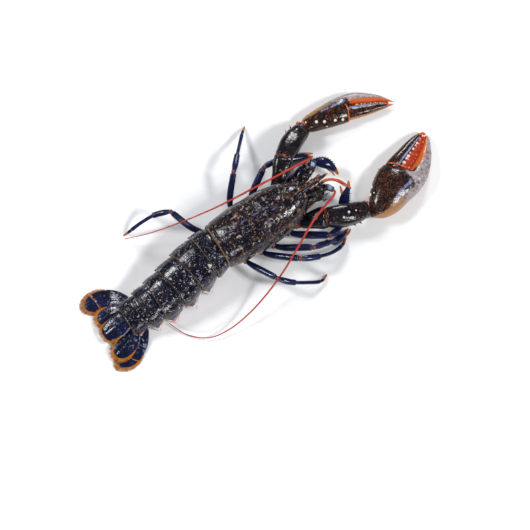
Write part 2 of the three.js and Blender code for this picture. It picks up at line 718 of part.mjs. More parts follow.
for (const [name, finish, make, neighbours] of pieces) {
  const clear = neighbours.reduce((solid, other) => solid.subtract(makers.get(other)(GAP)), make(0));
  const [largest] = clear.subtract(floor).decompose().sort((a, b) => b.volume() - a.volume());
  lobster.add(meshOf(name, finish, largest));
}

const box = new THREE.Box3().setFromObject(lobster);
lobster.position.set(-(box.min.x + box.max.x) / 2, -(box.min.y + box.max.y) / 2, -box.min.z);

const part = new THREE.Group();
part.add(lobster);
export default part;
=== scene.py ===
"""A European lobster at life size: shell, claws, legs, feelers and bristles, with its studio and camera.

Shapes are worked out in millimetres in the animal's own frame: x forward from the rear edge of the
carapace, y to the animal's left, z up from the floor. They move to the frame's place as they are meshed.
"""

import logging  # noqa: E402
import math  # noqa: E402
from collections.abc import Sequence  # noqa: E402
from dataclasses import dataclass, field, replace  # noqa: E402
from enum import Enum  # noqa: E402

import bpy  # noqa: E402
import numpy as np  # noqa: E402
from mathutils import Matrix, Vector  # noqa: E402

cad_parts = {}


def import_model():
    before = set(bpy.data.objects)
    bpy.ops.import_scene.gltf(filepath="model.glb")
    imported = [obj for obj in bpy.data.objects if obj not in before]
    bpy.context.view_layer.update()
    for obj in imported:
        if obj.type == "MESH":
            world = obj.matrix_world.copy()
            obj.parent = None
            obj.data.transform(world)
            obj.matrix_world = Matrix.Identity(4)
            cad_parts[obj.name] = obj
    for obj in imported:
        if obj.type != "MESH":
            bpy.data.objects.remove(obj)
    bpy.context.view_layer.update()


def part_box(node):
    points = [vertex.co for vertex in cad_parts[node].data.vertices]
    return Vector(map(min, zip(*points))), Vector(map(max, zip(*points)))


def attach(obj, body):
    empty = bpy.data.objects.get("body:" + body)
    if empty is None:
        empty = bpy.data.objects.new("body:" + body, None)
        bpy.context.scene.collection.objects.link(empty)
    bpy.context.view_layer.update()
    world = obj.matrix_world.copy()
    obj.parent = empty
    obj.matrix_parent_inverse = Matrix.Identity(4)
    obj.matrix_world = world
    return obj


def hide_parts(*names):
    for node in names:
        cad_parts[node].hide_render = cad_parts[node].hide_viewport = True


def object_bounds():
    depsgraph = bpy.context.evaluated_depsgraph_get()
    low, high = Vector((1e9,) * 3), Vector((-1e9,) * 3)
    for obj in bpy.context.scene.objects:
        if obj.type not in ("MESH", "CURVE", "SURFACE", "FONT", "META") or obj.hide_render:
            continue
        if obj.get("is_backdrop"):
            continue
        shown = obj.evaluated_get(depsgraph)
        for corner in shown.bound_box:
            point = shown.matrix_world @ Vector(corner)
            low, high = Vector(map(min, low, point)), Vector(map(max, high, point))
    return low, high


log = logging.getLogger("lobster")

Array = np.ndarray
Table = Sequence[Sequence[float]]

MM = 0.001
CARAPACE_LENGTH = 107.0
ROSTRUM_TIP = 137.0
# Colour masks that a shell carries at its points; its finish turns each into a tint.
MASKS = ("pale", "tan", "orange", "blue")
# Large odd numbers that scatter a whole-number place and a seed over a hash.
CORNER_HASH = (73856093, 19349663, 83492791)
SEED_HASH = 2654435761
MIX_HASH = 1274126177
# Short straight steps that stand for each span of a curve.
SPAN_STEPS = 80


class Side(Enum):
    """A side of the animal; the value is the sign of y there."""

    LEFT = 1
    RIGHT = -1

    @property
    def word(self) -> str:
        """The side as node names spell it."""
        return self.name.lower()


# Arithmetic on whole arrays


def smooth(x: Array) -> Array:
    """Ease from 0 to 1 as x goes from 0 to 1: three x squared less two x cubed, held outside.

    Args:
        x: Values to ease.

    Returns:
        The eased values.
    """
    x = np.clip(x, 0.0, 1.0)
    return x * x * (3.0 - 2.0 * x)


def bell(x: Array, middle: float | Array, width: float | Array) -> Array:
    """A bell curve of height 1: e to the minus of the squared distance from the middle in widths."""
    return np.exp(-(((x - middle) / width) ** 2))


def bulge(c: Array, power: float | Array) -> Array:
    """A sine or cosine raised to a power with its sign kept; under 1 it squares up an oval."""
    return np.sign(c) * np.abs(c) ** power


def hermite(t: Array) -> tuple[Array, Array, Array, Array]:
    """Cubic weights of a start value, its slope, an end value and its slope, as t goes from 0 to 1."""
    return 2 * t**3 - 3 * t**2 + 1, t**3 - 2 * t**2 + t, 3 * t**2 - 2 * t**3, t**3 - t**2


def stations(table: Table, s: Array) -> Array:
    """Read a table of stations, joined by cubic pieces whose slope at a row is the mean of its sides'.

    Args:
        table: Rows of station, value, value and so on.
        s: Stations to read.

    Returns:
        Values, with a last axis for the columns.
    """
    rows = np.array(table, float)
    at, values = rows[:, 0], rows[:, 1:]
    inner = np.diff(values, axis=0) / np.diff(at)[:, None]
    slope = np.vstack([inner[:1], (inner[:-1] + inner[1:]) / 2, inner[-1:]])
    i = np.clip(np.searchsorted(at, s, side="right") - 1, 0, len(at) - 2)
    span = at[i + 1] - at[i]
    t = np.clip((s - at[i]) / span, 0.0, 1.0)[..., None]
    span = span[..., None]
    start, leaving, end, arriving = hermite(t)
    return (
        start * values[i] + leaving * span * slope[i] + end * values[i + 1] + arriving * span * slope[i + 1]
    )


def noise(points: Array, cell: float, seed: int = 0) -> Array:
    """Smooth random bumps: each corner of a lattice has a hashed height, eased between along x, y and z.

    Args:
        points: Places in millimetres, with a last axis of three.
        cell: Lattice spacing in millimetres.
        seed: Which bumps.

    Returns:
        Heights from -1 to 1.
    """
    q = points / cell
    base = np.floor(q).astype(np.int64)
    f = smooth(q - base)
    total = np.zeros(points.shape[:-1])
    for corner in np.ndindex(2, 2, 2):
        k = (base + corner) * np.array(CORNER_HASH)
        h = np.bitwise_xor.reduce(k, axis=-1) + seed * SEED_HASH
        h = ((h ^ (h >> 13)) * MIX_HASH) & 0x7FFFFFFF
        h = (h ^ (h >> 11)) & 0xFFFFFF
        weight = np.prod(np.where(np.array(corner) == 1, f, 1.0 - f), axis=-1)
        total += weight * (h / 0x7FFFFF - 1.0)
    return total


def turns(sides: int) -> Array:
    """Angles once round a section, from the animal's right over the top, as a row."""
    return (2.0 * np.pi * np.arange(sides) / sides)[None, :]


def spaced(rows: int, even: float = 0.45) -> Array:
    """Shares of a length, closer together at its ends: an even run mixed with half a cosine wave."""
    s = np.linspace(0.0, 1.0, rows)
    return even * s + (1 - even) * (0.5 - 0.5 * np.cos(np.pi * s))


def unit(vectors: Array) -> Array:
    """Vectors scaled to length 1."""
    return vectors / np.linalg.norm(vectors, axis=-1, keepdims=True)


def length_of(path: Table) -> float:
    """The length of a line of points."""
    return float(np.sum(np.linalg.norm(np.diff(np.array(path, float), axis=0), axis=1)))


def distances(points: Array) -> Array:
    """The distance of each point along a line of points, from the first."""
    return np.concatenate([[0.0], np.cumsum(np.linalg.norm(np.diff(points, axis=0), axis=1))])


def read_at(at: Array, run: Array, rows: Array) -> Array:
    """Rows of three values that stand at distances along a run, read between them at other distances."""
    return np.stack([np.interp(at, run, rows[:, k]) for k in range(3)], -1)


def curve(path: Table, shares: Array) -> tuple[Array, Array]:
    """A centripetal Catmull-Rom curve, read by share of its length.

    Each span is the cubic whose end slopes come from the points either side, spaced by the square root
    of their distance. The ends are continued by mirroring the next point.

    Args:
        path: Points in millimetres.
        shares: Shares of the length, 0 to 1.

    Returns:
        Points, and unit tangents.
    """
    p = np.array(path, float)
    p = np.vstack([2 * p[0] - p[1], p, 2 * p[-1] - p[-2]])
    gap = np.sqrt(np.linalg.norm(np.diff(p, axis=0), axis=1))[:, None]
    x0, x1, x2, x3 = p[:-3], p[1:-2], p[2:-1], p[3:]
    g0, g1, g2 = gap[:-2], gap[1:-1], gap[2:]
    m1 = ((x1 - x0) / g0 - (x2 - x0) / (g0 + g1) + (x2 - x1) / g1) * g1
    m2 = ((x2 - x1) / g1 - (x3 - x1) / (g1 + g2) + (x3 - x2) / g2) * g1
    h = hermite(np.linspace(0.0, 1.0, SPAN_STEPS)[None, :, None])
    fine = h[0] * x1[:, None] + h[1] * m1[:, None] + h[2] * x2[:, None] + h[3] * m2[:, None]
    fine = np.vstack([fine[:, :-1].reshape(-1, 3), fine[-1, -1:]])
    run = distances(fine)
    at = shares * run[-1]
    return read_at(at, run, fine), unit(read_at(at, run, np.gradient(fine, run, axis=0)))


# Surfaces and pieces


def facing_out(points: Array, tris: Array) -> Array:
    """Turn triangles round if they face in: the sum of their corners' triple products is then under 0.

    Args:
        points: Corners in millimetres.
        tris: Corner numbers of the triangles of a closed skin, all turned one way.

    Returns:
        Corner numbers that face out.
    """
    p = points[tris]
    inside_out = np.sum(p[:, 0] * np.cross(p[:, 1], p[:, 2])) < 0
    return tris[:, ::-1] if inside_out else tris


@dataclass
class Surface:
    """A closed skin: rows of points, each row a loop, with colour masks at the points.

    A pinched end closes along the line midway across the loop; other ends close on their middle point.
    """

    points: Array
    masks: dict[str, Array] = field(default_factory=dict)
    pinched: bool = False

    def normals(self) -> Array:
        """Unit outward normals: the cross product of the steps along and round the skin.

        Returns:
            One normal for each point.
        """
        along = np.gradient(self.points, axis=0)
        around = np.roll(self.points, -1, axis=1) - np.roll(self.points, 1, axis=1)
        n = np.cross(along, around)
        n /= np.maximum(np.linalg.norm(n, axis=-1, keepdims=True), 1e-9)
        outward = self.points - self.points.mean(axis=1, keepdims=True)
        return n * np.sign(np.sum(n * outward))

    def raised(self, height: Array) -> "Surface":
        """Lift each point along its normal by a height in millimetres."""
        self.points = self.points + self.normals() * height[..., None]
        return self

    def mask(self, name: str, value: float | Array) -> "Surface":
        """Paint a colour mask over what is already there, keeping the stronger value.

        Args:
            name: Which of the masks.
            value: Strength from 0 to 1, for the whole skin or at its points.

        Returns:
            The same skin.
        """
        value = np.broadcast_to(np.clip(value, 0.0, 1.0), self.points.shape[:2])
        self.masks[name] = np.maximum(self.masks.get(name, 0.0), value)
        return self

    def indices(self) -> Array:
        """Number the points, with those of a closed end sharing one number or mirrored across it.

        Returns:
            A number for each point.
        """
        rows, sides = self.points.shape[:2]
        index = np.arange(rows * sides).reshape(rows, sides)
        if self.pinched:
            mirror = np.minimum(np.arange(sides), (-np.arange(sides)) % sides)
            for row in (0, rows - 1):
                self.points[row] = (self.points[row] + self.points[row, (-np.arange(sides)) % sides]) / 2
                index[row] = index[row, mirror]
        else:
            for row in (0, rows - 1):
                self.points[row] = self.points[row].mean(axis=0)
                index[row] = index[row, 0]
        return index

    def mesh_arrays(self) -> tuple[Array, Array, Array]:
        """The skin as points, triangles and masks, with no triangle of zero area and all facing out.

        Returns:
            Points (n, 3), corner numbers (m, 3), and masks (n, number of masks).
        """
        index = self.indices()
        a, b = index[:-1], index[1:]
        c, d = np.roll(b, -1, axis=1), np.roll(a, -1, axis=1)
        tris = np.vstack([np.stack([a, b, c], -1).reshape(-1, 3), np.stack([a, c, d], -1).reshape(-1, 3)])
        tris = tris[(tris[:, 0] != tris[:, 1]) & (tris[:, 1] != tris[:, 2]) & (tris[:, 2] != tris[:, 0])]
        used, tris = np.unique(tris, return_inverse=True)
        tris = tris.reshape(-1, 3)
        points = self.points.reshape(-1, 3)[used]
        zero = np.zeros(self.points.shape[:2])
        masks = np.stack([np.asarray(self.masks.get(m, zero)).reshape(-1)[used] for m in MASKS], -1)
        return points, facing_out(points, tris), masks


def sweep(
    path: Table,
    half: Table,
    rows: int = 60,
    sides: int = 36,
    square: float = 1.0,
    round_ends: tuple[float, float] = (0.06, 0.06),
) -> Surface:
    """An oval section carried along a curve, its side kept level, closing in a quarter round at each end.

    Args:
        path: Points of the curve in millimetres.
        half: Rows of share of the length, half width, half height.
        rows: Sections along the curve, closer together at the ends.
        sides: Points round a section.
        square: Power that squares up the oval.
        round_ends: Length of each end's rounding, as a share.

    Returns:
        The closed skin.
    """
    t = spaced(rows)
    centre, ahead = curve(path, t)
    side = unit(np.cross([0.0, 0.0, 1.0], ahead))
    above = np.cross(ahead, side)

    def cap(share: Array, edge: float) -> Array:
        """How far a rounded end has opened: a quarter circle over the edge's share."""
        return np.sqrt(1.0 - (1.0 - np.clip(share / max(edge, 1e-6), 0.0, 1.0)) ** 2)

    ends = cap(t, round_ends[0]) * cap(1.0 - t, round_ends[1])
    w, h = (stations(half, t) * ends[:, None]).T
    turn = turns(sides)
    across = -bulge(np.cos(turn), square) * w[:, None]
    up = bulge(np.sin(turn), square) * h[:, None]
    points = centre[:, None] + across[..., None] * side[:, None] + up[..., None] * above[:, None]
    return Surface(points)


def share_grid(surface: Surface) -> Array:
    """The share of the length at each row of a swept skin, as a column."""
    return spaced(surface.points.shape[0])[:, None]


def ball(centre: Sequence[float], radii: Sequence[float], rows: int = 24, sides: int = 32) -> Surface:
    """An ellipsoid: circles of latitude scaled by the three radii.

    Args:
        centre: Its middle in millimetres.
        radii: Its radii along x, y and z.
        rows: Circles of latitude.
        sides: Points round a circle.

    Returns:
        The closed skin.
    """
    down = np.linspace(0.0, np.pi, rows)[:, None]
    turn = turns(sides)
    unit = np.stack([np.sin(down) * np.cos(turn), np.sin(down) * np.sin(turn), np.cos(down) + 0 * turn], -1)
    return Surface(np.array(centre) + unit * np.array(radii))


def spine(base: Sequence[float], tip: Sequence[float], radius: float, mask: str = "orange") -> Surface:
    """A sharp cone that curves in to its tip, painted over its outer half, faintly unless it is orange.

    Args:
        base: Middle of the foot, inside the piece it grows from.
        tip: The point.
        radius: Radius of the foot in millimetres.
        mask: Colour mask painted towards the tip.

    Returns:
        The closed skin.
    """
    b, e = np.array(base, float), np.array(tip, float)
    path = [b, (b + e) / 2, e]
    half = [[0, radius, radius], [0.4, radius * 0.62, radius * 0.62], [1, 0.16, 0.16]]
    cone = sweep(path, half, rows=22, sides=14, round_ends=(0.05, 0.04))
    return cone.mask(mask, (1.0 if mask == "orange" else 0.4) * smooth((share_grid(cone) - 0.45) / 0.3))


def linked(name: str, data: bpy.types.ID) -> bpy.types.Object:
    """Put a mesh, camera or light into the scene.

    Args:
        name: Name of the object.
        data: The mesh, camera or light.

    Returns:
        The object.
    """
    obj = bpy.data.objects.new(name, data)
    bpy.context.scene.collection.objects.link(obj)
    return obj


def make_mesh(name: str, points: Array, tris: Array, masks: Array) -> bpy.types.Object:
    """Put whole arrays into a smooth-shaded mesh at its place in the frame.

    What would reach through the floor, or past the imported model's box, lies flat on it.

    Args:
        name: Name of the object.
        points: Points in the animal's frame, millimetres.
        tris: Corner numbers of the triangles.
        masks: One column for each colour mask.

    Returns:
        The linked object.
    """
    mesh = bpy.data.meshes.new(name)
    mesh.vertices.add(len(points))
    placed = np.clip(points * MM + Frame.shift, Frame.low, Frame.high)
    mesh.vertices.foreach_set("co", placed.astype(np.float32).ravel())
    mesh.loops.add(len(tris) * 3)
    mesh.loops.foreach_set("vertex_index", tris.astype(np.int32).ravel())
    mesh.polygons.add(len(tris))
    mesh.polygons.foreach_set("loop_start", np.arange(0, len(tris) * 3, 3, dtype=np.int32))
    mesh.update(calc_edges=True)
    mesh.polygons.foreach_set("use_smooth", np.ones(len(tris), bool))
    for k, mask in enumerate(MASKS):
        attribute = mesh.attributes.new(mask, "FLOAT", "POINT")
        attribute.data.foreach_set("value", masks[:, k].astype(np.float32))
    return linked(name, mesh)


class Frame:
    """Where the animal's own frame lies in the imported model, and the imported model's box."""

    shift: Array = np.zeros(3)
    low: Array = np.zeros(3)
    high: Array = np.zeros(3)

    @classmethod
    def find(cls) -> None:
        """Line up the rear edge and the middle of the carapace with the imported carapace."""
        cls.low, cls.high = (np.array(corner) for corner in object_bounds())
        low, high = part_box("carapace")
        cls.shift = np.array([low.x, (low.y + high.y) / 2, 0.0])


def piece(name: str, surfaces: Sequence[Surface], finish: "Finish", slot: str, *nodes: str) -> bpy.types.Object:
    """Join skins into one piece that rides the body and stands for its solid nodes.

    Args:
        name: Name of the piece.
        surfaces: Closed skins.
        finish: What it is made of.
        slot: Material slot of the record; not used.
        nodes: Solid nodes it stands for.

    Returns:
        The piece.
    """
    made = [s.mesh_arrays() for s in surfaces]
    starts = np.cumsum([0] + [len(m[0]) for m in made[:-1]])
    points = np.vstack([m[0] for m in made])
    tris = np.vstack([m[1] + start for m, start in zip(made, starts)])
    obj = make_mesh(name, points, tris, np.vstack([m[2] for m in made]))
    obj.data.materials.append(finish.material())
    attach(obj, "root")
    if nodes:
        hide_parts(*nodes)
    log.info("%s: %d skins, %d triangles", name, len(surfaces), len(tris))
    return obj


# Finishes


def linear(colour: str) -> tuple[float, float, float, float]:
    """Turn an sRGB hex colour to linear light."""
    srgb = [int(colour[i : i + 2], 16) / 255 for i in (1, 3, 5)]
    return (*(c / 12.92 if c <= 0.04045 else ((c + 0.055) / 1.055) ** 2.4 for c in srgb), 1.0)


def add_node(tree: bpy.types.NodeTree, kind: str, inputs: dict | None = None, **settings: object) -> bpy.types.Node:
    """Add a node with its settings, and its inputs as values or links.

    Args:
        tree: Where it goes.
        kind: Node type.
        inputs: Socket name or number, to a value or to the socket that feeds it.
        settings: Properties of the node.

    Returns:
        The node.
    """
    node = tree.nodes.new(kind)
    for key, value in settings.items():
        setattr(node, key, value)
    for key, value in (inputs or {}).items():
        if isinstance(value, bpy.types.NodeSocket):
            tree.links.new(value, node.inputs[key])
        else:
            node.inputs[key].default_value = value
    return node


class Finish:
    """What a piece is made of. Each finish is made into a material once."""

    name: str

    def material(self) -> bpy.types.Material:
        """The finish as a material, made the first time it is asked for."""
        return bpy.data.materials.get(self.name) or self.build()

    def start(self) -> tuple[bpy.types.Material, bpy.types.NodeTree, bpy.types.NodeSocket]:
        """Start a material of this name with nothing in it but the place on the object.

        Returns:
            The material, its node tree, and the socket of the Object coordinates.
        """
        made = bpy.data.materials.new(self.name)
        made.use_nodes = True
        tree = made.node_tree
        tree.nodes.clear()
        return made, tree, add_node(tree, "ShaderNodeTexCoord").outputs["Object"]

    def build(self) -> bpy.types.Material:
        """Make the material."""
        raise NotImplementedError


@dataclass(frozen=True)
class Chitin(Finish):
    """Calcified lobster shell, a hard glossy cuticle with pigment under a thin clear skin.

    It grew soft inside the old shell and was hardened with lime, so it is smooth, with fine pores. The
    ground runs between two dark pigments in broad clouds, with small irregular flecks over it. The masks
    paint bare cream shell, tan and orange where the pigment thins, and blue, which is mostly a painted
    bluish highlight where the lights glance off ridges, rims and streaks.
    """

    name: str
    ground: str = "#070914"
    cloud: str = "#17131a"
    mottle: str = "#4a3530"
    fleck: str = "#a59a94"
    warm_fleck: str = "#8a5c42"
    pale: str = "#d3c6bd"
    tan: str = "#8c6c47"
    orange: str = "#9a5c34"
    # The blue mask's tint: mostly the colour of painted bluish highlights
    blue: str = "#7f82aa"
    # Sizes of the pattern's features on a real shell, and the levels of noise at which they begin
    cloud_mm: float = 13.0
    patch_mm: float = 9.0
    warm_mm: float = 7.0
    mottle_mm: float = 5.5
    mottle_share: float = 0.5
    ragged_mm: float = 3.2
    fleck_mm: float = 2.8
    fleck_cut: float = 0.62
    fleck_edge: float = 0.07
    # Chitin's own index. Its pores take away part of its gloss, so the level is under the usual half.
    ior: float = 1.56
    gloss_level: float = 0.33
    roughness: float = 0.15
    # Pores are a fifth of a millimetre wide, too fine to show, so they are drawn 1.4 mm wide.
    pit_mm: float = 1.4
    pit_depth: float = 0.3

    def build(self) -> bpy.types.Material:
        """Make the shell's node tree: ground, clouds, flecks, masks with ragged edges, and pits.

        Returns:
            The material.
        """
        made, tree, place = self.start()

        def clouds(size_mm: float, detail: float, swirl: float = 0.0) -> bpy.types.NodeSocket:
            """Noise with features of a size in millimetres, drawn out into streaks by a swirl."""
            inputs = {"Vector": place, "Scale": 1000.0 / size_mm, "Detail": detail, "Distortion": swirl}
            return add_node(tree, "ShaderNodeTexNoise", {**inputs, "Roughness": 0.6}).outputs["Fac"]

        def ramp(value: bpy.types.NodeSocket, low: float, high: float) -> bpy.types.NodeSocket:
            """Ease a value from 0 to 1 between two levels."""
            inputs = {"Value": value, "From Min": low, "From Max": high}
            return add_node(tree, "ShaderNodeMapRange", inputs, interpolation_type="SMOOTHSTEP").outputs["Result"]

        def math_of(kind: str, a: object, b: object) -> bpy.types.NodeSocket:
            """One sum, product or such."""
            return add_node(tree, "ShaderNodeMath", {0: a, 1: b}, operation=kind).outputs[0]

        def mix(factor: object, a: object, b: object) -> bpy.types.NodeSocket:
            """Mix two colours: the node's sockets 0, 6 and 7 are its factor and its two colours."""
            return add_node(tree, "ShaderNodeMix", {0: factor, 6: a, 7: b}, data_type="RGBA").outputs[2]

        # The ground: two dark pigments in clouds, and blotches of a third
        broad = clouds(self.cloud_mm, 3.0)
        fine = clouds(self.fleck_mm, 2.5, 1.1)
        ragged = clouds(self.ragged_mm, 3.0)
        colour = mix(ramp(broad, 0.42, 0.62), linear(self.ground), linear(self.cloud))
        blotch = ramp(clouds(self.mottle_mm, 3.0, 0.8), 0.52, 0.64)
        colour = mix(math_of("MULTIPLY", blotch, self.mottle_share), colour, linear(self.mottle))
        # Flecks, thicker in some patches than in others, with finer specks, pale here and warm there
        patchy = math_of("MULTIPLY", clouds(self.patch_mm, 2.0), 0.35)
        spots = ramp(math_of("ADD", fine, patchy), self.fleck_cut + 0.17, self.fleck_cut + 0.17 + self.fleck_edge)
        specks = ramp(clouds(self.fleck_mm * 0.5, 1.0), self.fleck_cut + 0.06, self.fleck_cut + 0.1)
        spots = math_of("MAXIMUM", spots, specks)
        flecks = mix(ramp(clouds(self.warm_mm, 2.0), 0.46, 0.58), linear(self.fleck), linear(self.warm_fleck))
        colour = mix(spots, colour, flecks)
        # The painted masks, each with an edge made ragged by noise
        for mask, tint in zip(("blue", "pale", "tan", "orange"), (self.blue, self.pale, self.tan, self.orange)):
            strength = add_node(tree, "ShaderNodeAttribute", attribute_name=mask).outputs["Fac"]
            wavy = math_of("ADD", strength, math_of("MULTIPLY", math_of("SUBTRACT", ragged, 0.5), 0.9))
            edge = math_of("MULTIPLY", ramp(wavy, 0.2, 0.8), ramp(strength, 0.02, 0.2))
            colour = mix(edge, colour, linear(tint))
        # Pits of two sizes, and a gloss that changes with the clouds
        pits = math_of("ADD", clouds(self.pit_mm, 2.0), clouds(self.pit_mm * 3.2, 1.0))
        bump = add_node(tree, "ShaderNodeBump", {"Height": pits, "Strength": 0.5, "Distance": self.pit_depth * MM})
        gloss = add_node(
            tree,
            "ShaderNodeMapRange",
            {"Value": broad, "To Min": self.roughness - 0.04, "To Max": self.roughness + 0.06},
        ).outputs["Result"]
        inputs = {"Base Color": colour, "Roughness": gloss, "IOR": self.ior, "Normal": bump.outputs["Normal"]}
        shader = add_node(tree, "ShaderNodeBsdfPrincipled", {**inputs, "Specular IOR Level": self.gloss_level})
        add_node(tree, "ShaderNodeOutputMaterial", {"Surface": shader.outputs["BSDF"]})
        return made


@dataclass(frozen=True)
class Plain(Finish):
    """An even surface with a slight change of tone, such as a cornea, a membrane or bristles."""

    name: str
    colour: str
    deeper: str
    roughness: float = 0.4
    ior: float = 1.5
    tone_mm: float = 4.0

    def build(self) -> bpy.types.Material:
        """Make the node tree: two tones mixed by noise.

        Returns:
            The material.
        """
        made, tree, place = self.start()
        tone = add_node(tree, "ShaderNodeTexNoise", {"Vector": place, "Scale": 1000.0 / self.tone_mm}).outputs["Fac"]
        tones = {0: tone, 6: linear(self.colour), 7: linear(self.deeper)}
        blend = add_node(tree, "ShaderNodeMix", tones, data_type="RGBA").outputs[2]
        inputs = {"Base Color": blend, "Roughness": self.roughness, "IOR": self.ior}
        shader = add_node(tree, "ShaderNodeBsdfPrincipled", inputs)
        add_node(tree, "ShaderNodeOutputMaterial", {"Surface": shader.outputs["BSDF"]})
        return made


# Back shell: thick lime-hardened chitin, grown smooth. Near black with blue and brown in it, glossy, with
# pale flecks where the pigment is thin.
SHELL = Chitin("calcified_shell_blue_black")
# Tail shell: the same, rubbed clean where the segments slide. Bluer, with lilac-white flecks and flap tips.
TAIL_SHELL = replace(
    SHELL, name="calcified_shell_tail", ground="#040716", cloud="#0b0c1a", fleck="#b4b0c0", warm_fleck="#8f7a78",
    mottle="#2b2636", pale="#d8c8c6", orange="#b5624a", tan="#80693f", blue="#7f8cc4",
)
# Shell of the antenna bases: as the back, with fewer flecks; its pale blue is for painted highlights on the ends of its
# lengths.
HEAD_SHELL = replace(
    SHELL, name="calcified_shell_head", ground="#05070f", cloud="#0d0c14", blue="#a4bcdc", fleck_cut=0.66
)
# Leg shell: a thin even tube of chitin. Plain navy, glossy, orange where it is bare at joints and toes.
LEG_SHELL = Chitin(
    "calcified_shell_navy", ground="#0a1030", cloud="#101844", mottle="#1c2658", fleck="#38468a",
    warm_fleck="#453a4c", orange="#9c5220", fleck_mm=1.8, fleck_cut=0.68,
)
# Claw shell: the thickest and most limed. Brown-black, peppered with rust, cream and tan underneath.
CLAW_SHELL = Chitin(
    "calcified_shell_brown_black", ground="#0b080c", cloud="#1c100e", mottle="#3c2117", fleck="#5d4136",
    warm_fleck="#6b3c22", pale="#a89ea1", tan="#9c7049", orange="#c25a20", blue="#93a6d2", fleck_mm=1.8,
    fleck_cut=0.57, cloud_mm=9.0, mottle_mm=3.0, mottle_share=0.8, roughness=0.16,
)
# Arm shell: as the back, worn a little duller, with dim flecks and orange rims.
ARM_SHELL = replace(
    SHELL, name="calcified_shell_arm", orange="#b5502a", cloud="#130f16", mottle="#33231f", fleck="#6d5a50",
    fleck_cut=0.65, roughness=0.16,
)
# Fan shell: chitin thin enough to bend, ribbed. Deep blue, turning ochre along the fringe.
FAN_SHELL = Chitin(
    "thin_shell_fan", ground="#050a20", cloud="#0a1236", mottle="#141d44", fleck="#6b6f92", warm_fleck="#7a5432",
    orange="#b0701c", pale="#8d8fa8", fleck_mm=1.8, fleck_cut=0.66,
)
# Tooth bed: soft unlimed cuticle, stretched smooth and moist. An even dark red with a gloss.
GUM = Plain("tooth_bed_red", "#7c170c", "#b8401c", roughness=0.25, tone_mm=3.0)
# Cornea: clear cuticle over black pigment, smooth as glass. A black bead with one sharp highlight.
CORNEA = Plain("cornea_black", "#030304", "#07070a", roughness=0.08, ior=1.38)
# Long whip: ringed chitin with red pigment, dulled by its rings. An even, nearly matt red.
WHIP_CUTICLE = Plain("whip_cuticle_red", "#b52008", "#8f1505", roughness=0.5, tone_mm=12.0)
# Short whip: the same, thinner and younger. Orange-red, browner in places.
SHORT_WHIP_CUTICLE = Plain("whip_cuticle_orange", "#b83208", "#a8520f", roughness=0.45, tone_mm=5.0)
# Joint membrane: unlimed cuticle, folded in pleats. Dull pink, hardly glossy.
MEMBRANE = Plain("joint_membrane_pink", "#7a2f2c", "#a8574a", roughness=0.42, tone_mm=3.0)
# Belly: thin cuticle, little limed, over pale flesh. Flesh coloured and soft to the eye.
BELLY = Plain("thin_belly_cuticle", "#b08e78", "#8a6f6c", roughness=0.5, tone_mm=6.0)
# Bristles: fine drawn-out chitin. Straw gold, matt in the mass.
BRISTLE = Plain("bristle_chitin_ochre", "#d08a26", "#b06414", roughness=0.5, tone_mm=2.0)
# Teeth and knobs: solid lime with no pigment, worn smooth. Cream white with a china gloss.
ENAMEL = Plain("tooth_shell_white", "#e9dfd2", "#d3bda4", roughness=0.3, tone_mm=2.0)


# Sub-assemblies


def sided(path: Table, side: Side) -> list[list[float]]:
    """A path given for the left side, turned over for the right."""
    return [[x, side.value * y, z] for x, y, z in path]


def seat(surface: Surface, x: float, y: float) -> Array:
    """The top of a skin over a place on the floor: its nearest corner among those that face up.

    Args:
        surface: The skin.
        x: Place forward, in millimetres.
        y: Place to the left.

    Returns:
        The corner.
    """
    facing = surface.normals()[..., 2] > 0.1
    away = (surface.points[..., 0] - x) ** 2 + (surface.points[..., 1] - y) ** 2 + np.where(facing, 0.0, 1e6)
    return surface.points[np.unravel_index(np.argmin(away), away.shape)]


def knobs(surface: Surface, rows: Table) -> list[Surface]:
    """Low round pale knobs set on top of a skin, from rows of x, y and radius."""
    return [ball(seat(surface, x, y), (r, r, r * 0.75), rows=10, sides=14).mask("pale", 1.0) for x, y, r in rows]


def walled(surface: Surface) -> Surface:
    """Close both ends with a flat wall, by doubling the end rows; the outer ones draw in when meshed.

    Args:
        surface: The skin.

    Returns:
        The same skin with its walls.
    """
    surface.points = np.concatenate([surface.points[:1], surface.points, surface.points[-1:]])
    surface.masks = {k: np.concatenate([m[:1], m, m[-1:]]) for k, m in surface.masks.items()}
    return surface


def jointed(
    path: Table,
    half: Table,
    cuts: Sequence[float],
    square: float = 0.9,
    neck: float = 0.8,
    flare: float = 1.08,
    lap: float = 0.012,
    rows: int = 34,
    sides: int = 28,
) -> list[Surface]:
    """A limb in shell lengths, each narrow where it leaves the one before and wider at its far rim.

    The limb's own half sizes are multiplied along each length by a neck, a straight and a rolled rim.

    Args:
        path: The limb's curve.
        half: Its half sizes along the whole curve.
        cuts: Shares of the curve where the lengths begin and end.
        square: Power that squares up the oval.
        neck: Size at the start of a length.
        flare: Size at its rim.
        lap: Share of the curve by which a length reaches into the one before.
        rows: Sections of a length.
        sides: Points round a section.

    Returns:
        One skin for each length, with the joint edges painted.
    """
    made = []
    for start, end in zip(cuts[:-1], cuts[1:]):
        first = start - lap if start > cuts[0] else start
        run, _ = curve(path, np.linspace(first, end, 9))
        local = np.linspace(0.0, 1.0, 13)
        size = stations(half, first + (end - first) * local)
        rim = 1.0 if end >= 1.0 else flare
        shape = stations([[0, neck], [0.1, neck + 0.05], [0.26, 1], [0.82, 1], [0.94, rim], [1, rim]], local)
        surface = sweep(run, np.column_stack([local, size * shape]), rows, sides, square, (0.06, 0.05))
        t = share_grid(surface)
        ahead = 0.8 * smooth((t - 0.945) / 0.03) if end < 1.0 else 0.0 * t
        made.append(surface.mask("orange", ahead).mask("orange", 0.55 * (1 - smooth(t / 0.04))))
    return made


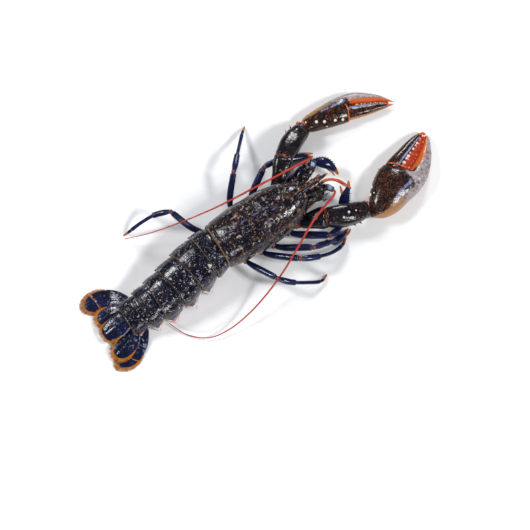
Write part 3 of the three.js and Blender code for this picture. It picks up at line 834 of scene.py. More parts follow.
def bristles(name: str, roots: Array, ways: Array, lengths: Array, width: float, where: Array) -> None:
    """Tapered three-sided bristles, each a root ring, a middle ring that droops a little, and a point.

    Args:
        name: Name of the piece.
        roots: Root of each bristle.
        ways: Unit direction of each.
        lengths: Length of each in millimetres.
        width: Half width at the root in millimetres.
        where: Place of each root on the skin laid flat, 0 to 1.
    """
    across = unit(np.cross(ways, [0.0, 0.0, 1.0]))
    above = np.cross(across, ways)
    turn = np.arange(3) * 2 * np.pi / 3 + np.pi / 2
    ring = np.cos(turn)[None, :, None] * across[:, None] + np.sin(turn)[None, :, None] * above[:, None]
    reach = (ways * lengths[:, None])[:, None]
    middle = roots[:, None] + reach * 0.55 + ring * width * 0.8
    tips = roots[:, None] + reach - [0.0, 0.0, 0.25]
    points = np.concatenate([roots[:, None] + ring * width, middle, tips], axis=1)
    faces = [[0, 2, 1]]
    for k in range(3):
        n = (k + 1) % 3
        faces += [[k, n, 3 + n], [k, 3 + n, 3 + k], [3 + k, 3 + n, 6]]
    tris = (np.array(faces)[None] + 7 * np.arange(len(roots))[:, None, None]).reshape(-1, 3)
    points = points.reshape(-1, 3)
    tris = facing_out(points, tris)
    obj = make_mesh(name, points, tris, np.zeros((len(points), len(MASKS))))
    # Each bristle has its own small patch of the flat map, round its root's place there
    patch = np.array([[0, 0], [1, 0], [2, 0], [0, 1], [1, 1], [2, 1], [1, 2]]) / 2 - 0.5
    spread = (where[:, None] + patch[None] * 0.003).reshape(-1, 2)
    layer = obj.data.uv_layers.new(name="OFBake")
    layer.data.foreach_set("uv", spread[tris.ravel()].astype(np.float32).ravel())
    obj.data.materials.append(BRISTLE.material())
    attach(obj, "root")
    log.info("%s: %d bristles", name, len(roots))


@dataclass
class Carapace:
    """The back shield and its beak: grooves, rims and spines on one closed shell."""

    # Rows of x, half width, and heights of the widest line, the crown and the lower margin
    shape: Table = (
        (0, 25.8, 35, 54.5, 25),
        (12, 27.6, 35, 58, 18.5),
        (40, 29.4, 35, 61.5, 15),
        (68, 28, 35.5, 62, 15),
        (88, 24, 37, 60.5, 17.5),
        (100, 18.5, 39, 58, 22),
        (CARAPACE_LENGTH, 13, 41, 55, 28),
    )
    # Rows of angle from the crown, and x of the neck groove there
    neck_groove: Table = ((0, 56.5), (0.35, 55), (0.75, 50.5), (1.05, 54), (1.4, 62), (1.75, 72), (2.1, 80), (3.2, 84))
    # Depths of the neck groove, the side grooves, the side margins, the rear rim's groove and the midline
    groove_depth: float = 1.3
    side_depth: float = 0.7
    margin_depth: float = 0.8
    rim_depth: float = 0.75
    midline_depth: float = 0.4
    # The beak's curve, and its rows of share, half width and half height
    beak_path: Table = ((94, 0, 56.5), (112, 0, 57.5), (126, 0, 58.5), (ROSTRUM_TIP, 0, 60.5))
    beak_half: Table = ((0, 6, 3.5), (0.35, 4, 2.8), (0.7, 2.7, 2), (1, 0.7, 0.7))
    # Rows of foot and tip, x, y and z each, and foot radius, for the left side
    spines: Table = (
        (110, 2, 58, 113.8, 4.9, 59.2, 1.5),
        (116.5, 2, 58, 120.3, 4.9, 59.2, 1.4),
        (122.5, 2, 58, 126, 4.6, 59.2, 1.3),
        (101, 15, 41, 113, 16, 40.5, 2.4),
        (98, 8, 55.5, 106.5, 8.6, 57.6, 1.7),
        (95, 11.5, 52.5, 101, 12.4, 53.6, 1.2),
    )

    def shield(self) -> Surface:
        """The shield: squared ovals along x, sunk along the grooves.

        A groove is a bell curve across its line. The neck groove's line is an x for each angle from the
        crown; the others lie at one angle, or at one x.

        Returns:
            The closed skin with its rims and lines painted.
        """
        x = np.linspace(0.0, CARAPACE_LENGTH, 176)[:, None]
        turn = turns(232)
        w, middle, top, under = (v[:, None] for v in stations(self.shape, x[:, 0]).T)
        over = np.sin(turn) > 0
        rim = 1.3 * (1 - np.sqrt(1 - (1 - np.clip(np.minimum(x, CARAPACE_LENGTH - x) / 1.6, 0, 1)) ** 2))
        rise = np.where(over, top - middle, middle - under) - rim
        y = -(w - rim) * bulge(np.cos(turn), 0.86)
        z = middle + rise * bulge(np.sin(turn), np.where(over, 0.9, 0.75))
        skin = Surface(np.stack([x + 0 * y, y, z], -1), pinched=True)
        # The angle from the crown, and the grooves and bumps that sink the shell
        phi = np.abs((turn - np.pi / 2 + np.pi) % (2 * np.pi) - np.pi)
        cut = stations(self.neck_groove, phi)[..., 0]
        neck = bell(x, cut, 1.7) * (1 - smooth((phi - 1.9) / 0.4))
        side_groove = bell(phi, 1.3 + 0.25 * bell(x, 75, 22), 0.03) * smooth((x - 62) / 6) * (1 - smooth((x - 88) / 6))
        margin = bell(phi, 2.2, 0.035)
        p = skin.points
        depth = self.groove_depth * neck + self.side_depth * side_groove + self.margin_depth * margin
        depth = depth + self.rim_depth * bell(x, 4.2, 0.9)
        depth = depth + self.midline_depth * bell(y, 0, 0.7) * smooth((x - 3) / 4)
        depth = depth + 0.35 * (noise(p, 11.0, 3) + 1) * 0.5
        depth = depth + 0.1 * (noise(p, 2.4, 5) + 1)
        skin.raised(-depth)
        self.paint(skin, p, phi, cut, over)
        return walled(skin)

    def paint(self, skin: Surface, p: Array, phi: Array, cut: Array, over: Array) -> None:
        """Paint the shield: a thin gold rear rim, pale and tan spots, orange margins, and lilac highlight stripes.

        The stripes are painted highlights: bell curves each side of the midline, broken up by noise, with one
        more behind the neck groove. Spots are where one noise is high and a finer one is too.

        Args:
            skin: The shield.
            p: Its points before the grooves.
            phi: Angle from the crown.
            cut: The neck groove's x at each angle.
            over: Whether on the upper side.
        """
        x, y = p[..., 0], p[..., 1]
        patch = 0.5 + 0.5 * noise(p, 6.0, 8)
        skin.mask("tan", (1 - smooth((x - 0.6) / 0.4)) * 0.8)
        skin.mask("pale", 0.42 * smooth((patch - 0.66) / 0.1) * smooth((noise(p, 2.6, 12) - 0.1) / 0.2) * over)
        skin.mask("tan", 0.45 * smooth((0.34 - patch) / 0.1) * smooth((noise(p, 3.0, 14) - 0.05) / 0.2) * over)
        skin.mask("orange", 0.7 * bell(phi, 2.32, 0.05))
        skin.mask("orange", 0.3 * bell(y, 0, 0.9) * smooth((x - 57) / 4) * (1 - smooth((x - 94) / 4)) * over)
        # Painted lilac highlights: stripes each side of the midline, and a line behind the neck groove
        highlight_stripe = 0.6 * bell(np.abs(y), 2.9, 1.6) * smooth((noise(p, 3.4, 21) + 0.55) / 0.5)
        skin.mask("blue", highlight_stripe * (0.5 + 0.5 * patch) * over * smooth((x - 3) / 5) * (1 - smooth((x - 70) / 8)))
        skin.mask("blue", 0.4 * bell(x, cut + 2.6, 1.5) * patch * (phi < 1.8))

    def beak(self) -> Surface:
        """The beak: an oval carried forward, hollowed along its top between two ridges with painted highlights.

        Returns:
            The closed skin.
        """
        skin = sweep(self.beak_path, self.beak_half, 90, 48)
        t, turn = share_grid(skin), turns(48)
        skin.raised(-0.8 * bell(turn, np.pi / 2, 0.3) * smooth(t / 0.1) * (1 - smooth((t - 0.75) / 0.2)))
        skin.mask("orange", 0.45 * bell(turn, np.pi / 2, 0.35) + smooth((t - 0.9) / 0.06) + 0 * turn)
        # Painted bluish highlights along the beak's two ridges
        return skin.mask("blue", 0.35 * bell(np.abs(turn - np.pi / 2), 0.75, 0.2) + 0 * t)

    def build(self) -> None:
        """Mesh the shield, beak and spines as one shell."""
        skins = [self.shield(), self.beak()]
        for side in Side:
            for bx, by, bz, tx, ty, tz, radius in self.spines:
                skins.append(spine((bx, side.value * by, bz), (tx, side.value * ty, tz), radius))
        piece("back_shield", skins, SHELL, "shell", "carapace")


@dataclass
class Underside:
    """The breastplates between the legs, the leg hips, and the mouthparts."""

    # Height where the breastplates meet the shell, their rows of x, half width and lowest height, and how
    # far apart the leg pairs stand
    top: float = 24.0
    keel: Table = ((4, 9, 15), (20, 13, 10.5), (60, 12, 9.5), (92, 7, 12))
    leg_pitch: float = 16.0
    # Rows of x, y and z of the hips, for the left side
    hips: Table = ((66, 11, 15), (50, 11, 14.5), (34, 11, 14.5), (18, 10.5, 14.5))
    # The mouthparts' curve, and their rows of share, half width and half height
    mouth_path: Table = ((93, 0, 21), (106, 0, 27), (113, 0, 35))
    mouth_half: Table = ((0, 6.5, 4.5), (0.5, 8, 5.5), (1, 7, 4))

    def breast(self) -> Surface:
        """The breastplates: a squared trough that narrows below, notched between the leg pairs.

        Returns:
            The closed skin.
        """
        x = np.linspace(self.keel[0][0], self.keel[-1][0], 90)[:, None]
        turn = turns(64)
        w, under = (v[:, None] for v in stations(self.keel, x[:, 0]).T)
        lean = np.where(np.sin(turn) < 0, 0.55, 1.0)
        y = -w * lean * bulge(np.cos(turn), 0.6)
        z = under + (self.top - under) * (np.sin(turn) + 1) / 2
        skin = Surface(np.stack([x + 0 * y, y, z], -1), pinched=True)
        pitch = self.leg_pitch
        notch = bell((x - 10) % pitch, pitch / 2, 1.3) + bell(y, 0, 1.0) * (np.sin(turn) < 0)
        return walled(skin.raised(-0.9 * notch))

    def build(self) -> None:
        """Mesh the breastplates with the hips, then the mouthparts."""
        skins = [self.breast()]
        for side in Side:
            skins += [ball((x, side.value * y, z), (5.2, 4.2, 4.6), 16, 24) for x, y, z in self.hips]
        piece("breastplates", skins, BELLY, "belly", "thorax_underside")
        mouth = sweep(self.mouth_path, self.mouth_half, 40, 48, 0.8)
        mouth.raised(-0.8 * bell(turns(48), -np.pi / 2 + 2 * np.pi, 0.12) - 0.5 * bell(turns(48), np.pi / 2, 0.1))
        palps = [
            sweep([[98, s * 3, 26], [108, s * 4.6, 30], [114, s * 3, 36]], [[0, 1.8, 1.4], [1, 1, 0.7]], 24, 16)
            for s in (-1, 1)
        ]
        piece("mouthparts_skin", [mouth, *palps], BELLY, "belly", "mouthparts")


@dataclass
class Tail:
    """Six arched tail segments with pointed side flaps, bent a little to the right, and swimmerets."""

    # Slit between two segments, and x of their edges
    gap: float = 0.35
    edges: Sequence[float] = (0, -17, -40.5, -62.5, -83.5, -100, -120)
    # How far the end lies to the left of straight, and the x between which the tail bends
    shift: float = -10.5
    bend: Sequence[float] = (-5, -85)
    # Rows of x, half width, and heights of the widest line, the crown and the belly
    shape: Table = (
        (-120, 17.8, 12, 21.5, 6.5),
        (-100, 21, 15.5, 29.5, 7.5),
        (-83.5, 23.6, 18.5, 35.5, 8.5),
        (-62.5, 25.6, 22, 42, 10),
        (-40.5, 26.4, 26, 47.5, 12),
        (-17, 27, 29.5, 51.5, 16),
        (0, 25.5, 32, 51.5, 22),
    )
    # For each segment, the height of its flaps' tips, how far they flare, and how much they narrow
    flaps: Table = (
        (15, -1, 0.6), (4, 2.6, 0.55), (3, 3.2, 0.66), (2.6, 3.4, 0.66), (2.6, 3.6, 0.66), (5, 2.0, 0.6),
    )
    # Share of the way down at which a flap begins, how far the flanks step, and the wall's thickness
    back: float = 0.72
    saw: float = 5.2
    flap_shell: float = 3.0

    def bent(self, x: Array, across: Array, z: Array) -> Array:
        """Carry points given along and across the tail onto its bend.

        Args:
            x: Along the tail.
            across: To its left.
            z: Height.

        Returns:
            Points with a last axis of three.
        """
        def off(at: Array) -> Array:
            """Sideways place of the tail's middle: eased from none to the full shift."""
            return self.shift * smooth((self.bend[0] - at) / (self.bend[0] - self.bend[1]))

        heading = np.arctan(off(x + 0.5) - off(x - 0.5))
        return np.stack([x - across * np.sin(heading), off(x) + across * np.cos(heading), z + 0 * across], -1)

    def segment(self, index: int) -> Surface:
        """One segment: the outer half of the loop is the arch and flaps, the inner half their lining.

        The arch is a squared quarter oval on each side, and a flap goes on straight down from its foot. A
        flank steps by the saw times an ease along the segment, inwards at its front and outwards at its
        rear, more so down the flap. A flap narrows by a share of its length, the power 1.5 of the way down.

        Args:
            index: Which segment, from 0 at the front.

        Returns:
            The closed skin.
        """
        front, rear = self.edges[index] - self.gap, self.edges[index + 1]
        low, flare, narrow = self.flaps[index]
        # The share round the loop, how far that is from the crown, and how far down the flap
        a = (np.arange(200) / 200)[None, :]
        t = np.linspace(0.0, 1.0, 56)[:, None]
        outer = a <= 0.5
        share = np.where(outer, a * 2, (1 - a) * 2)
        reach, side = np.abs(2 * share - 1), np.where(share < 0.5, -1.0, 1.0)
        down = np.clip((reach - self.back) / (1 - self.back), 0.0, 1.0)
        place = 0.5 + (t - 0.5) * (1 - narrow * down**1.5) + 0.06 * down
        x = front + (rear - front) * place
        w, middle, top, belly = np.moveaxis(stations(self.shape, x), -1, 0)
        flank = self.saw * (0.35 + 0.65 * down) * (smooth(t * 1.15) - 0.7 - 0.25 * smooth((t - 0.8) / 0.2))
        w = w + (flank if index else 0.3 * flank) * smooth(reach / self.back)
        # The front lip that slides under the segment ahead, and the rolled rear edge
        lip = (1 - smooth(t * 4)) * 0.9
        roll = 0.7 * (1 - np.sqrt(1 - (1 - np.clip((1 - t) / 0.05, 0, 1)) ** 2))
        arch = np.minimum(1.0, reach / self.back) * np.pi / 2
        out = (w - lip - roll) * bulge(np.sin(arch), 0.85) + flare * down
        high = middle + (top - middle - lip - roll) * bulge(np.cos(arch), 0.9) + (low - middle) * down
        within = (w - self.flap_shell) * np.minimum(1.0, reach / self.back) + flare * down
        under = belly + (low - belly) * down
        points = self.bent(x, side * np.where(outer, out, within), np.where(outer, high, under))
        skin = Surface(points, pinched=True)
        # The step behind the lip, the groove across the flap, and bumps
        step = 0.8 * bell(t, 0.26, 0.03) * (1 - down) + 0.55 * bell(down, 0.42, 0.07) * (np.abs(t - 0.5) < 0.42)
        relief = step + 0.16 * (noise(points, 7.0, index) + 1) + 0.06 * (noise(points, 2.2, index + 9) + 1)
        skin.raised(np.where(outer, -relief, 0.0))
        patch = 0.5 + 0.5 * noise(points, 4.5, index + 20)
        self.paint(skin, index, patch, t, reach, down, outer)
        return walled(skin)

    def paint(
        self, skin: Surface, index: int, patch: Array, t: Array, reach: Array, down: Array, outer: Array
    ) -> None:
        """Paint a segment: pale flap tips and spots, an orange flush and blue on the flanks, a gold rear rim.

        Args:
            skin: The segment.
            index: Which segment, from 0 at the front.
            patch: Noise from 0 to 1 that breaks up the colours.
            t: Share along the segment.
            reach: Share of the way from the crown to the flap's tip.
            down: Share of the way down the flap.
            outer: Whether outside rather than in the lining.
        """
        edge = smooth((np.abs(t - 0.5) - 0.36) / 0.12)
        low_side = smooth((reach - 0.62) / 0.3) * outer
        skin.mask("pale", smooth((down + 0.35 * edge - 0.34) / 0.3) * (0.4 + patch) * outer)
        skin.mask("pale", 0.75 * low_side * smooth((patch - 0.62) / 0.1))
        skin.mask("orange", 0.8 * bell(down, 0.62, 0.24) * smooth((patch - 0.55) / 0.15) * outer)
        skin.mask("blue", 0.6 * low_side * smooth((0.42 - patch) / 0.14))
        rim = smooth((t - 0.965) / 0.015) * (1 - down)
        skin.mask("tan", rim * (0.95 if index == 0 else 0.55) * outer)

    def swimmerets(self, index: int) -> list[Surface]:
        """Two-bladed swimmerets hung from the belly: each blade a flat oval carried back and down.

        Args:
            index: Which segment, from 0 at the front.

        Returns:
            The blades of both sides.
        """
        root = (self.edges[index] - self.gap + self.edges[index + 1]) / 2
        belly = stations(self.shape, np.array([root]))[0, 3]
        made = []
        for side in Side:
            for spread, reach in ((0.0, 1.0), (3.2, 0.85)):
                along = np.array([0.0, -5.0, -11.0]) * reach
                out = side.value * (np.array([8.0, 10.0, 11.0]) + spread * np.array([0.1, 0.8, 1.0]))
                path = self.bent(root + along, out, belly + np.array([1.0, -2.5, -4.5]) * reach)
                blade = sweep(path, [[0, 1.2, 0.8], [0.5, 2.6, 0.5], [1, 1.4, 0.3]], 26, 20)
                made.append(blade.mask("orange", smooth((share_grid(blade) - 0.8) / 0.15)))
        return made

    def build(self) -> None:
        """Mesh each segment with its hinge knobs and swimmerets."""
        for index in range(6):
            name = f"abdomen_{index + 1}"
            skins = [self.segment(index)]
            rear = self.edges[index + 1]
            w, middle, top, _ = stations(self.shape, np.array([rear]))[0]
            for side in Side:
                place = (np.array([v]) for v in (rear + 0.8, side.value * (w - 0.6), middle + 1.5))
                skins.append(ball(self.bent(*place)[0], (1.9, 0.9, 1.7), 14, 18).mask("orange", 0.5))
            piece(f"tail_segment_{index + 1}", skins, TAIL_SHELL, "tail", name)
            if 0 < index < 5:
                piece(f"swimmerets_{index + 1}", self.swimmerets(index), BELLY, "belly")


@dataclass
class FanPlate:
    """One plate of the tail fan, with its ribs, crossing joint, gold edge and fringe."""

    name: str
    # Its curve, rows of share, half width and half height, and the share that rounds its rear
    path: Table
    half: Table
    round_far: float
    # Its number in the fan, which picks its bumps and its part of the bristles' flat map
    order: int
    # Length of the bristles, share of the curve where they begin, and share where a joint crosses
    fringe: float = 6.2
    fringe_from: float = 0.5
    joint: float = 0.0
    # Real bristles are a tenth of a millimetre thick, too fine to show, so they are drawn thicker.
    bristle_gap: float = 0.085
    bristle_width: float = 0.13

    def plate(self) -> Surface:
        """The plate: a flat squared oval carried back, drawn in all round its rear by the fringe.

        Its ribs are a bell curve along the middle and the size of a sine wave across. Its joint is a bell
        curve across a line that slants with the width.

        Returns:
            The closed skin.
        """
        stop = 1.0 - self.fringe / length_of(self.path)
        run, _ = curve(self.path, np.linspace(0.0, stop, 12))
        local = np.linspace(0.0, 1.0, 12)
        size = stations(self.half, stop * local)
        size[:, 0] -= self.fringe * 0.62 * smooth((local - 0.3) / 0.6)
        skin = sweep(run, np.column_stack([local, size]), 96, 96, 0.8, (0.05, self.round_far))
        t, turn = share_grid(skin), turns(96)
        v = bulge(np.cos(turn), 0.8)
        upper = smooth(np.sin(turn) / 0.25)
        ribs = 0.35 * bell(v, 0, 0.08) - 0.16 * np.abs(np.sin(v * 26)) * smooth((t - 0.5) / 0.3)
        suture = bell(t, self.joint + 0.07 * v, 0.016) if self.joint else 0.0 * t
        skin.raised((ribs - 0.45 * suture - 0.08 * (noise(skin.points, 2.5, self.order) + 1)) * upper)
        edge = smooth((np.abs(v) - 0.965) / 0.03) * smooth((t - 0.25) / 0.2) + smooth((t - 0.978) / 0.012)
        fine = noise(skin.points, 1.6, self.order + 60)
        skin.mask("orange", edge).mask("orange", 0.9 * suture**2 * upper)
        skin.mask("pale", 0.5 * smooth((fine - 0.25) / 0.2) * bell(t, 0.35, 0.3) * upper)
        return skin.mask("blue", 0.3 * bell(v, 0, 0.1) * upper * (1 - smooth((t - 0.8) / 0.1)))

    def comb(self, skin: Surface) -> None:
        """Bristles set along the rear edge, square to it and leaning back, with a little scatter.

        Args:
            skin: The plate.
        """
        first = int(self.fringe_from * skin.points.shape[0])
        sides = skin.points.shape[1]
        edge = np.vstack([skin.points[first:-1, 0], skin.points[first:-1, sides // 2][::-1]])
        run = distances(edge)
        rng = np.random.default_rng(40 + self.order)
        count = int(run[-1] / self.bristle_gap)
        at = np.sort(rng.uniform(0.0, run[-1], count))
        roots = read_at(at, run, edge)
        tangent = read_at(at, run, np.gradient(edge, run, axis=0))
        outward = np.cross(tangent, [0.0, 0.0, 1.0])
        outward *= np.sign(np.sum(outward * (roots - edge.mean(axis=0)), axis=1))[:, None]
        back = unit(np.array(self.path[-1], float) - np.array(self.path[-2], float))
        rear = np.clip(outward @ back, 0.0, 1.0)
        ways = unit(outward) + 0.35 * back
        ways += rng.normal(0.0, 0.07, ways.shape)
        ways[:, 2] = rng.normal(-0.03, 0.03, count)
        ways = unit(ways)
        ends = smooth(np.minimum(at, run[-1] - at) / (0.18 * run[-1]))
        lengths = self.fringe * (0.55 + 0.45 * rear) * (0.3 + 0.7 * ends) * rng.uniform(0.86, 1.0, count)
        low = edge.min(axis=0)
        size = edge.max(axis=0) - low
        flat = (roots - low)[:, :2] / size[:2]
        where = np.column_stack([(self.order + 0.1 + 0.8 * flat[:, 1]) / len(FAN), 0.05 + 0.9 * flat[:, 0]])
        roots = roots - ways * 0.7 + rng.normal(0, 0.16, roots.shape) * [0, 0, 1]
        roots[:, 2] = np.maximum(roots[:, 2], 0.35)
        bristles(f"fringe_{self.name}", roots, ways, lengths + 0.7, self.bristle_width, where)

    def build(self) -> None:
        """Mesh the plate and its fringe."""
        skin = self.plate()
        self.comb(skin)
        piece(f"fan_{self.name}", [skin], FAN_SHELL, "fan", self.name)


FAN = (
    FanPlate(
        "telson", ((-119, -10, 14), (-132, -10.8, 10.5), (-152, -12, 7)),
        ((0, 11, 3.4), (0.4, 12.2, 2.4), (0.8, 11.4, 1.7), (1, 9.4, 1.2)), 0.16, 0, fringe=4.2,
    ),
    FanPlate(
        "endopod_left", ((-114, 2, 9), (-128, 5, 5.4), (-151, 7, 4.2)),
        ((0, 3.5, 2.4), (0.35, 9.5, 1.6), (0.75, 12, 1.3), (1, 9.5, 1)), 0.24, 1,
    ),
    FanPlate(
        "endopod_right", ((-113, -23.6, 9), (-128, -30.6, 5.4), (-154.5, -36.6, 4.2)),
        ((0, 3.5, 2.4), (0.35, 10.5, 1.6), (0.75, 13, 1.3), (1, 10, 1)), 0.24, 2,
    ),
    FanPlate(
        "exopod_left", ((-106, 8, 8), (-118, 17.5, 3), (-134, 25, 1.3), (-155.5, 27.4, 1.2)),
        ((0, 4, 2.4), (0.3, 10.5, 1.5), (0.65, 14, 1.25), (1, 10.5, 1.2)), 0.26, 3, joint=0.72,
    ),
    FanPlate(
        "exopod_right", ((-106, -26.6, 8), (-118, -34.5, 3), (-134, -42, 1.3), (-157.5, -45.6, 1.2)),
        ((0, 4, 2.4), (0.3, 10, 1.5), (0.65, 13.6, 1.25), (1, 10.5, 1.2)), 0.26, 4, joint=0.72,
    ),
)


@dataclass
class Head:
    """Eye, long antenna, short antennae and jaw leg of one side."""

    side: Side
    # Curves of the antenna's base, its scale, its whip and the short antenna
    stem: Table
    scale: Table
    whip: Table
    antennule: Table
    # Rows of which length of the base, x and y of its rounded lumps; rows of x, y and radius of its pale dots, the
    # first of which is a painted glint of the eye
    lumps: Table
    dots: Table
    # How many solid nodes the whip stands for
    whip_nodes: int
    # Middle of the eye and its stalk's curve, for the left side
    eye: Sequence[float] = (117.2, 11.0, 50.2)
    eye_radius: float = 3.85
    stalk: Table = ((104, 5, 49), (112, 7.4, 49.6), (116, 10.4, 50))
    # Radius of the whip at its root and tip, and the length of its rings
    whip_radius: Sequence[float] = (1.4, 0.42)
    ring_pitch: float = 1.1
    # Where the short antenna's lower whip lies from its upper one
    twin: Sequence[float] = (-2.2, -1.6, -1.8)
    # The jaw leg's curve for the left side; rows of share, half width and half height
    jaw_leg: Table = ((86, 6, 17), (104, 7, 19.5), (118, 8.4, 25), (126, 8.4, 31), (129, 6, 36))
    stem_half: Table = ((0, 5, 4.6), (0.45, 4.6, 4.2), (0.75, 3.8, 3.6), (1, 2.7, 2.6))
    jaw_half: Table = ((0, 3.4, 3), (0.45, 3.6, 3.2), (0.75, 2.6, 2.4), (1, 1.1, 1))

    def ringed(self, path: Table, half: Table, pitch: float, sides: int = 12) -> Surface:
        """A whip of short rings: a thin round curve sunk at every ring by half a cosine wave.

        Args:
            path: Its curve.
            half: Its half sizes.
            pitch: Length of a ring in millimetres.
            sides: Points round it.

        Returns:
            The closed skin.
        """
        length = length_of(path)
        rows = int(length / pitch * 4)
        skin = sweep(path, half, rows, sides, 1.0, (0.01, 0.01))
        t = share_grid(skin)
        radius = stations(half, t[:, 0])[:, :1]
        skin.raised(-0.09 * radius * (0.5 - 0.5 * np.cos(2 * np.pi * t * length / pitch)) + 0 * turns(sides))
        return skin

    def build_eye(self) -> None:
        """Mesh the eye: a round cornea in a collar on a short stalk."""
        x, y, z = self.eye
        y *= self.side.value
        r = self.eye_radius
        word = self.side.word
        piece(f"cornea_{word}", [ball((x, y, z), (r, r, r), 40, 48)], CORNEA, "eye", f"eye_{word}")
        stalk = sweep(sided(self.stalk, self.side), [[0, 2.2, 2.2], [0.6, 2.2, 2.2], [1, 3.1, 3.1]], 30, 32)
        collar = sweep(
            [[x - 3.4, y - self.side.value * 0.9, z - 0.1], [x - 0.9, y - self.side.value * 0.2, z]],
            [[0, 2.6, 2.6], [0.5, 3.5, 3.5], [1, 3.95, 3.95]], 16, 40, 1.0, (0.1, 0.12),
        )
        collar.mask("tan", 0.7 * smooth((share_grid(collar) - 0.6) / 0.3))
        piece(f"eye_stalk_{word}", [stalk, collar], SHELL, "shell", f"eyestalk_{word}")

    def build_antenna(self) -> None:
        """Mesh the antenna's jointed base, its scale with sharp points, and the whip."""
        word, sign = self.side.word, self.side.value
        base = jointed(self.stem, self.stem_half, (0, 0.3, 0.52, 0.78, 1), neck=0.86, rows=36, sides=44)
        # Painted blue-white highlights on the last two lengths of the base
        base[-1].mask("blue", 0.6 * bell(share_grid(base[-1]), 0.5, 0.4) * bell(turns(44), 1.7, 1.1))
        base[-2].mask("blue", 0.42 * bell(share_grid(base[-2]), 0.6, 0.25) * bell(turns(44), 1.2, 0.4))
        blade = sweep(self.scale, [[0, 3, 1.2], [0.4, 4, 1.1], [0.8, 2, 0.9], [1, 0.5, 0.4]], 50, 32)
        turn = turns(32)
        blade.raised(-0.35 * bell(turn, np.pi / 2, 0.3) * smooth(share_grid(blade) / 0.2))
        tip = np.array(self.scale[-1])
        prongs = [
            spine(tip + [-3.4, -2.6 * sign, -0.6], tip + [4.2, -2.2 * sign, -0.2], 1.9, "blue"),
            spine(tip + [-6.4, 1.0 * sign, -0.8], tip + [-1.2, 3.4 * sign, -0.3], 1.8, "blue"),
        ]
        lumps = [ball(seat(base[i], x, y) - [0, 0, 0.6], (2.4, 2.0, 1.7), 20, 28) for i, x, y in self.lumps]
        dots = []
        for x, y, r in self.dots:
            under = min([*base, *lumps], key=lambda s: float(np.linalg.norm(seat(s, x, y)[:2] - [x, y])))
            dots += knobs(under, [[x, y, r]])
        piece(f"antenna_foot_{word}", [*base, blade, *prongs, *lumps, *dots], HEAD_SHELL, "leg", f"antenna_base_{word}")
        r0, r1 = self.whip_radius
        half = [[t, r1 + (r0 - r1) * (1 - t) ** 0.9, r1 + (r0 - r1) * (1 - t) ** 0.9] for t in np.linspace(0, 1, 9)]
        nodes = [f"antenna_{word}_{i + 1}" for i in range(self.whip_nodes)]
        piece(f"whip_{word}", [self.ringed(self.whip, half, self.ring_pitch)], WHIP_CUTICLE, "feeler", *nodes)

    def build_antennule(self) -> None:
        """Mesh the short antenna: a three-part foot and two ringed whips."""
        word, sign = self.side.word, self.side.value
        half = [[0, 2.1, 2.1], [0.3, 1.9, 1.9], [0.5, 1.5, 1.4], [1, 0.7, 0.7]]
        foot = jointed(self.antennule, half, (0, 0.18, 0.3, 0.42), neck=0.84, rows=26, sides=28)
        upper, _ = curve(self.antennule, np.linspace(0.4, 1.0, 10))
        lower = upper[:-1] + np.array(self.twin) * [1, sign, 1] * smooth(np.linspace(0, 1, 9) / 0.5)[:, None]
        red = [[0, 1.7, 1.6], [0.5, 1.5, 1.4], [1, 0.7, 0.7]]
        thin = [[0, 1.3, 1.2], [1, 0.6, 0.6]]
        whips = [self.ringed(upper, red, 0.9), self.ringed(lower, thin, 0.8)]
        piece(f"antennule_foot_{word}", foot, SHELL, "leg", f"antennule_{word}")
        piece(f"antennule_whips_{word}", whips, SHORT_WHIP_CUTICLE, "feeler")

    def build_jaw_leg(self) -> None:
        """Mesh the jaw leg in its lengths, with a brush of bristles along its inner edge."""
        word, sign = self.side.word, self.side.value
        path = sided(self.jaw_leg, self.side)
        piece(
            f"jaw_leg_{word}", jointed(path, self.jaw_half, (0, 0.44, 0.66, 0.86, 1), rows=40, sides=32),
            LEG_SHELL, "leg", f"maxilliped_{word}",
        )
        rng = np.random.default_rng(7 + sign)
        t = rng.uniform(0.35, 0.95, 420)
        centre, ahead = curve(path, t)
        inward = unit(np.cross(ahead, [0.0, 0.0, 1.0]) * sign)
        radius = stations(self.jaw_half, t)[:, :1]
        ways = unit(inward + 0.4 * ahead + rng.normal(0.0, 0.15, ahead.shape))
        where = np.column_stack([t * 0.9 + 0.05, rng.uniform(0.4, 0.6, len(t))])
        lengths = rng.uniform(2.0, 3.4, len(t))
        bristles(f"jaw_bristles_{word}", centre + inward * radius * 0.8, ways, lengths, 0.1, where)

    def build(self) -> None:
        """Build the side's head pieces."""
        self.build_eye()
        self.build_antenna()
        self.build_antennule()
        self.build_jaw_leg()


